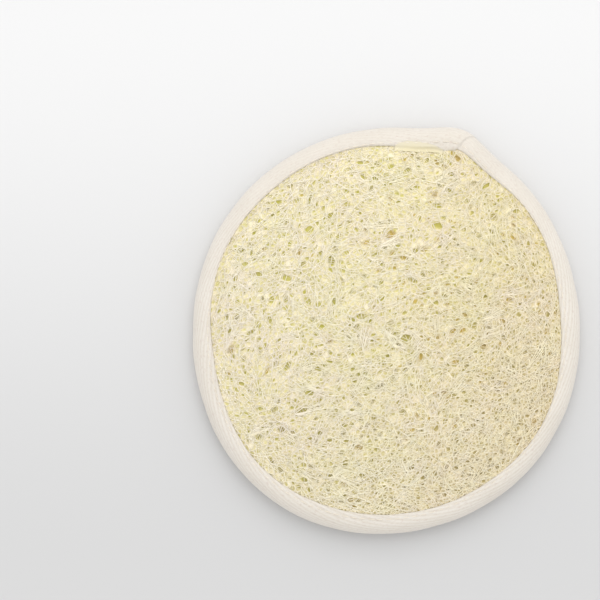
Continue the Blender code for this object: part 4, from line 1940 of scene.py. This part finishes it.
@dataclass
class EdgeBinding:
    """The herringbone tape folded over the rim, its end lapped near the top right."""

    thickness: float = 0.9 * MM
    rim_height: float = 11.5 * MM
    shoulder: float = 5.75 * MM
    heel: float = 3.5 * MM
    front_edge: float = 6.4 * MM
    back_edge: float = 9.0 * MM
    groove_depth: float = 6.85 * MM
    groove_half: float = 0.65 * MM
    groove_rise: float = 0.9 * MM
    edge_droop: float = 0.5 * MM
    hem: float = 0.4 * MM
    lap: float = 0.75 * MM
    lap_full: float = math.radians(6.0)
    lap_faded: float = math.radians(17.0)
    slant: float = math.radians(9.0)
    slant_reach: float = math.radians(15.0)
    stations: int = 420
    crowding: float = 0.5
    across: int = 100
    inner_across: int = 10
    stitch: float = 3.2 * MM
    pucker: float = 0.10 * MM
    pucker_depth: float = 5.3 * MM
    pucker_spread: float = 0.8 * MM
    pucker_height: float = 8.0 * MM
    wave_size: float = 9.0 * MM
    wave_rise: float = 0.16 * MM
    hem_share: float = 0.14
    hold_share: float = 0.16
    first_turn: float = math.radians(0.25)
    pressed_span: tuple = (math.radians(78.0), math.radians(36.0))
    pressed_ribs: float = 0.6
    pressed_groove: float = 0.35
    hidden_groove: float = 0.3

    def section(self, count: int, inset: float) -> Array:
        """Even points of the folded tape's section from its front edge to its back edge.

        Args:
            count: how many points.
            inset: 0 for the outer face, or the tape's thickness for the inner face.

        Returns:
            Rows of depth and height.
        """
        turn = np.linspace(0.0, 0.5 * math.pi, 60)
        rise = self.rim_height - self.heel
        top = np.linspace(self.front_edge, self.shoulder, 8, endpoint=False)
        droop = self.edge_droop * ((top - self.shoulder) / (self.front_edge - self.shoulder)) ** 2
        front = joined(top, self.rim_height - inset - droop)
        upper = joined(
            self.shoulder - (self.shoulder - inset) * np.sin(turn),
            self.heel + (rise - inset) * np.cos(turn),
        )
        lower = joined(
            self.heel - (self.heel - inset) * np.cos(turn),
            self.heel - (self.heel - inset) * np.sin(turn),
        )
        leg = np.linspace(self.heel, self.back_edge, 120)[1:]
        groove = smooth_step(self.groove_half, 0.45 * self.groove_half, np.abs(leg - self.groove_depth))
        back = joined(leg, inset + self.groove_rise * groove)
        line = np.concatenate([front, upper, lower[1:], back])
        length = np.concatenate([[0.0], np.cumsum(np.hypot(*np.diff(line, axis=0).T))])
        wanted = np.linspace(0.0, length[-1], count)
        return joined(*(np.interp(wanted, length, line[:, i]) for i in (0, 1)))

    def turns(self) -> Array:
        """Angles past the lap's line of the stations, crowded near the lap.

        Returns:
            The angles, from just past the line to a full turn.
        """
        part = np.linspace(0.0, 1.0, self.stations)
        part = part - self.crowding * np.sin(FULL_TURN * part) / FULL_TURN
        return self.first_turn + (FULL_TURN - self.first_turn) * part

    def leaning(self, station: Array, along: Array) -> Array:
        """Angle of a section point: the sections lean where the tape's end crosses."""
        turn = wrapped(station - OUTLINE.corner_angle)
        return station - self.slant * along * np.exp(-((turn / self.slant_reach) ** 2))

    def lap_at(self, turn: Array) -> Array:
        """Extra height where the tape's end lies over its start."""
        edge = 0.8 + 0.2 * smooth_step(0.0, math.radians(1.2), turn)
        return self.lap * edge * (1.0 - smooth_step(self.lap_full, self.lap_faded, turn))

    def face(self, count: int, inset: float) -> tuple[Array, ...]:
        """Points of one face of the tape over all stations.

        Args:
            count: points across.
            inset: 0 for the outer face, or the tape's thickness for the inner face.

        Returns:
            The points, station by across by x, y, z, and the places on the flat tape.
        """
        line = self.section(count, inset)
        run = np.gradient(line, axis=0)
        run /= np.linalg.norm(run, axis=1, keepdims=True)
        out_depth, out_height = run[:, 1], -run[:, 0]
        along = np.linspace(0.0, 1.0, count)
        turn = self.turns()
        station = OUTLINE.corner_angle + turn
        angle = self.leaning(station[:, None], along[None, :])
        depth = np.broadcast_to(line[:, 0], angle.shape).copy()
        height = np.broadcast_to(line[:, 1], angle.shape).copy()
        if inset > 0.0:
            height += (self.thickness - self.hem) * smooth_step(self.hem_share, 0.0, along)[None, :]
        hold = smooth_step(self.hold_share, 0.0, along)[None, :]
        depth += hold * (OUTLINE.front_edge(angle) - self.front_edge)
        width = self.tape_width()
        rim = turn[:, None] * OUTLINE.radius
        across = along[None, :] * width
        if inset == 0.0:
            proud = self.lap_at(turn)[:, None] * height / self.rim_height
            proud[-1] = 0.0
            soft = smooth_step(0.0, 2.0 * MM, line[:, 1])[None, :]
            waves = SmoothNoise(81, self.wave_size, 0.3).at(rim, across) * self.wave_rise
            proud = proud + waves * soft
            off_seam = np.broadcast_to(line[:, 0], angle.shape) - self.pucker_depth
            near = np.exp(-((off_seam / self.pucker_spread) ** 2)) * (height > self.pucker_height)
            proud = proud - self.pucker * near * (0.5 + 0.5 * np.cos(FULL_TURN * rim / self.stitch))
            rib = Herringbone(width).rib(rim, across)
            crisp = (1.0 - self.pressed_ribs * self.pressed(angle)) * np.clip(soft + 0.4, 0.0, 1.0)
            proud = proud + Herringbone(width).rise * (rib - 1.0) * crisp
            depth += out_depth[None, :] * proud
            height += out_height[None, :] * proud
        x, y = OUTLINE.place(angle, depth)
        return joined(x, y, height), rim, across

    def pressed(self, angle: Array) -> Array:
        """How smooth the ribs are pressed, from 0 to 1: most along the edge at +Y."""
        away = np.abs(wrapped(angle - 0.5 * math.pi))
        return smooth_step(*self.pressed_span, away)

    def tape_width(self) -> float:
        """Width of the flat tape, from the section's length."""
        line = self.section(400, 0.0)
        return float(np.hypot(*np.diff(line, axis=0).T).sum())

    def front_height(self, depth: Array, angle: Array) -> Array:
        """Height of the tape's front at a depth inward from the outline.

        Args:
            depth: places' depth inward from the outline.
            angle: their angle round the pad.

        Returns:
            The height at each place.
        """
        turn = wrapped(angle - OUTLINE.corner_angle)
        flat = np.minimum(depth / self.shoulder, 1.0)
        rise = self.rim_height - self.heel
        height = self.heel + rise * np.sqrt(np.clip(1.0 - (1.0 - flat) ** 2, 0.0, 1.0))
        return height + np.where(turn > 0.0, self.lap_at(turn), 0.0)

    def build(self) -> list[Piece]:
        """Build and dress the tape.

        Returns:
            The tape.
        """
        outer, rim, across = self.face(self.across, 0.0)
        inner, _, _ = self.face(self.inner_across, self.thickness)
        loops = np.concatenate([outer, inner[:, ::-1]], axis=1)
        around = loops.shape[1]
        item = mesh_from_faces(
            "binding_tape", loops.reshape(-1, 3), [ring_faces(self.stations, around, True)[:, ::-1]]
        )
        width = self.tape_width()
        rib = Herringbone(width).rib(rim, across)
        pressed = self.pressed(OUTLINE.corner_angle + self.turns())[:, None]
        # groove paints shade in the ribs' grooves, less where the ribs are pressed smooth.
        groove = (1.0 - rib) * (1.0 - 2.0 * self.pressed_groove * pressed) + self.pressed_groove * pressed
        groove = np.concatenate([groove, np.full(inner.shape[:2], self.hidden_groove)], axis=1)
        put_attribute(item, "groove", groove.ravel())
        places = np.zeros((*loops.shape[:2], 2))
        places[:, :, 0] = rim
        places[:, : self.across, 1] = across
        places[:, self.across :, 1] = width * 1.2
        put_map(item, UV_WEAVE, places.reshape(-1, 2))
        dress(item, TapeFinish().material(), Slot.TAPE, "edge_binding")
        OUTLINE.length()
        return [item]


BINDING = EdgeBinding()


@dataclass
class HandStrap:
    """The flat herringbone strap across the back, slack in its middle."""

    width: float = 25.0 * MM
    thickness: float = 0.9 * MM
    half_length: float = 61.0 * MM
    tuck: float = 4.0 * MM
    middle: float = 4.0 * MM
    end_height: float = 2.25 * MM
    sag: float = 1.5 * MM
    curl: float = 0.25 * MM
    rib_pitch: float = 1.45 * MM
    edge_wave: float = 0.12 * MM
    edge_turns: float = 410.0
    edge_share: float = 0.49
    sharp_angle: float = math.radians(60.0)
    cells_along: int = 90
    cells_across: int = 104

    def build(self) -> list[Piece]:
        """Build and dress the strap: a grid bent to its sag, then given its thickness.

        Returns:
            The strap.
        """
        item = new_grid("strap_tape", self.cells_along, self.cells_across, 1.0)
        item.scale = (2.0 * self.half_length, self.width, 1.0)
        apply_place(item)
        points = mesh_points(item)
        x = points[:, 0].copy()
        across = points[:, 1] + 0.5 * self.width
        weave = Herringbone(self.width, pitch=self.rib_pitch)
        rib = weave.rib(x, across)
        reach = np.minimum(np.abs(x) / (self.half_length - self.tuck), 1.0)
        curl = self.curl * (2.0 * across / self.width - 1.0) ** 4 * (1.0 - reach)
        height = self.end_height - self.sag * (1.0 - reach * reach) + curl + weave.rise * (rib - 1.0)
        y = points[:, 1]
        at_edge = np.abs(y) > self.edge_share * self.width
        edge = self.edge_wave * np.sin(x * self.edge_turns) * np.sign(y) * at_edge
        set_points(item, joined(x, y + edge + self.middle, height))
        # groove paints shade in the ribs' grooves.
        put_attribute(item, "groove", 1.0 - rib)
        put_map(item, UV_WEAVE, joined(x, across))
        apply_modifier(item, "SOLIDIFY", thickness=self.thickness, offset=1.0)
        item.data.shade_smooth()
        item.data.set_sharp_from_angle(angle=self.sharp_angle)
        dress(item, TapeFinish().material(), Slot.TAPE, "hand_strap")
        return [item]


@dataclass
class Seam:
    """The seam through the binding: a row of stitches on each side."""

    binding: EdgeBinding
    length: float = 2.5 * MM
    radius: float = 0.19 * MM
    front_depth: float = 5.35 * MM
    front_along: float = 0.045
    back_along: float = 0.88
    sunk: float = 0.06 * MM
    dip: float = 0.16 * MM

    def stitch(self) -> tuple[Array, Array]:
        """One stitch along +X, a slim rounded rod whose ends dip into the tape.

        Returns:
            Its points and its triangles.
        """
        deselect_all()
        bpy.ops.mesh.primitive_uv_sphere_add(segments=8, ring_count=8, radius=1.0)
        item = bpy.context.object
        item.rotation_euler = (0.0, 0.5 * math.pi, 0.0)
        item.scale = (self.radius, self.radius, 0.5 * self.length)
        apply_place(item)
        apply_modifier(item, "TRIANGULATE")
        points = mesh_points(item)
        points[:, 2] -= self.dip * (2.0 * points[:, 0] / self.length) ** 2
        faces = np.array([tuple(face.vertices) for face in item.data.polygons])
        bpy.data.objects.remove(item, do_unlink=True)
        return points, faces

    def build(self, row: Row) -> list[Piece]:
        """Build and dress one row.

        Args:
            row: the front row or the back row.

        Returns:
            The row's piece.
        """
        front = row is Row.FRONT
        along = self.front_along if front else self.back_along
        depth = self.front_depth if front else self.binding.groove_depth
        count = int(FULL_TURN * OUTLINE.radius / self.binding.stitch)
        turn = (np.arange(count) + 0.5) * self.binding.stitch / OUTLINE.radius
        angle = self.binding.leaning(OUTLINE.corner_angle + turn, np.full(count, along))
        x, y = OUTLINE.place(angle, depth)
        step = 1e-3
        ahead_x, ahead_y = OUTLINE.place(angle + step, depth)
        heading = np.arctan2(ahead_y - y, ahead_x - x)
        if front:
            z = self.binding.rim_height + self.binding.lap_at(turn) - self.sunk
        else:
            z = np.full(count, self.binding.groove_rise + self.sunk)
        points, faces = self.stitch()
        if not front:
            points = points * np.array([1.0, 1.0, -1.0])
            faces = faces[:, ::-1]
        cosine, sine = np.cos(heading)[:, None], np.sin(heading)[:, None]
        along_x, along_y, along_z = points.T[:, None, :]
        turned_x = along_x * cosine - along_y * sine + x[:, None]
        turned_y = along_x * sine + along_y * cosine + y[:, None]
        places = joined(turned_x, turned_y, along_z + z[:, None])
        numbers = faces[None] + (np.arange(count) * len(points))[:, None, None]
        name = f"{row.value}_stitches"
        item = mesh_from_faces(name, places.reshape(-1, 3), [numbers.reshape(-1, 3)])
        dress(item, ThreadFinish().material(), Slot.THREAD, f"{row.value}_stitching")
        return [item]


@dataclass
class Studio:
    """The floor, the soft light and a camera that looks straight down on the pad.

    The photograph's scale and the pad's place in it are pixels of a 600 pixel frame, and
    the scale holds at half the rim's height.
    """

    frame_pixels: float = 600.0
    metres_per_pixel: float = 0.3448 * MM
    pad_pixel: tuple = (387.0, 331.5)
    camera_height: float = 1.6
    sensor: float = 36.0
    floor_size: float = 8.0
    key_place: tuple = (0.08, 0.62, 1.02)
    key_size: float = 0.9
    key_watts: float = 5.0
    sky_strength: float = 1.0
    sky_side: float = 1.4
    sky_top: float = 0.86
    sky_end: float = 0.8
    floor_drop: float = 0.1 * MM
    scale_height: float = 6.0 * MM
    far_clip: float = 50.0

    def build(self) -> None:
        """Make the floor, the lights, the world and the camera."""
        self.floor()
        self.lamp("key_light", self.key_place, self.key_size, self.key_watts)
        self.world()
        self.camera()

    def floor(self) -> None:
        """A wide plain floor that the pad lies on."""
        deselect_all()
        bpy.ops.mesh.primitive_plane_add(size=self.floor_size, location=(0.0, 0.0, -self.floor_drop))
        item = bpy.context.object
        item.name = item.data.name = "pale_floor"
        apply_place(item)
        item.data.materials.append(FloorFinish().material())

    def lamp(self, name: str, place: tuple, size: float, watts: float) -> None:
        """A soft square lamp that faces the pad.

        Args:
            name: the lamp's name.
            place: where it stands.
            size: length of its sides.
            watts: its power.
        """
        data = bpy.data.lights.new(name, "AREA")
        data.size = size
        data.energy = watts
        item = bpy.data.objects.new(name, data)
        bpy.context.collection.objects.link(item)
        item.location = place
        aim = -np.array(place)
        item.rotation_euler = (
            math.acos(-aim[2] / np.linalg.norm(aim)),
            0.0,
            math.atan2(aim[1], aim[0]) - 0.5 * math.pi,
        )

    def world(self) -> None:
        """White light from all round, a little stronger from the sides than from above."""
        world = bpy.data.worlds.new("soft_studio")
        world.use_nodes = True
        tree = world.node_tree
        background = tree.nodes["Background"]
        background.inputs["Strength"].default_value = self.sky_strength
        way = tree.nodes.new("ShaderNodeTexCoord")
        apart = tree.nodes.new("ShaderNodeSeparateXYZ")
        ramp = tree.nodes.new("ShaderNodeMapRange")
        ramp.inputs["From Max"].default_value = self.sky_end
        ramp.inputs["To Min"].default_value = self.sky_side
        ramp.inputs["To Max"].default_value = self.sky_top
        tree.links.new(way.outputs["Generated"], apart.inputs["Vector"])
        tree.links.new(apart.outputs["Z"], ramp.inputs["Value"])
        tree.links.new(ramp.outputs["Result"], background.inputs["Color"])
        bpy.context.scene.world = world
        bpy.context.scene.view_settings.view_transform = "Standard"

    def camera(self) -> None:
        """A long lens straight above, set off so that the pad lies where it does in the photograph."""
        view = self.frame_pixels * self.metres_per_pixel
        data = bpy.data.cameras.new("camera")
        data.sensor_width = self.sensor
        data.lens = self.sensor * (self.camera_height - self.scale_height) / view
        data.clip_end = self.far_clip
        item = bpy.data.objects.new("camera", data)
        bpy.context.collection.objects.link(item)
        middle = 0.5 * self.frame_pixels
        across = (middle - self.pad_pixel[0]) * self.metres_per_pixel
        along = (self.pad_pixel[1] - middle) * self.metres_per_pixel
        item.location = (across, along, self.camera_height)
        bpy.context.scene.camera = item


def main() -> None:
    """Build the pad's pieces in order, then the studio."""
    logging.basicConfig(level=logging.INFO, format="%(message)s")
    LoofahFace().build()
    TERRY.build()
    BINDING.build()
    HandStrap().build()
    seam = Seam(BINDING)
    seam.build(Row.FRONT)
    seam.build(Row.BACK)
    Studio().build()


if __name__ == "__main__":
    main()
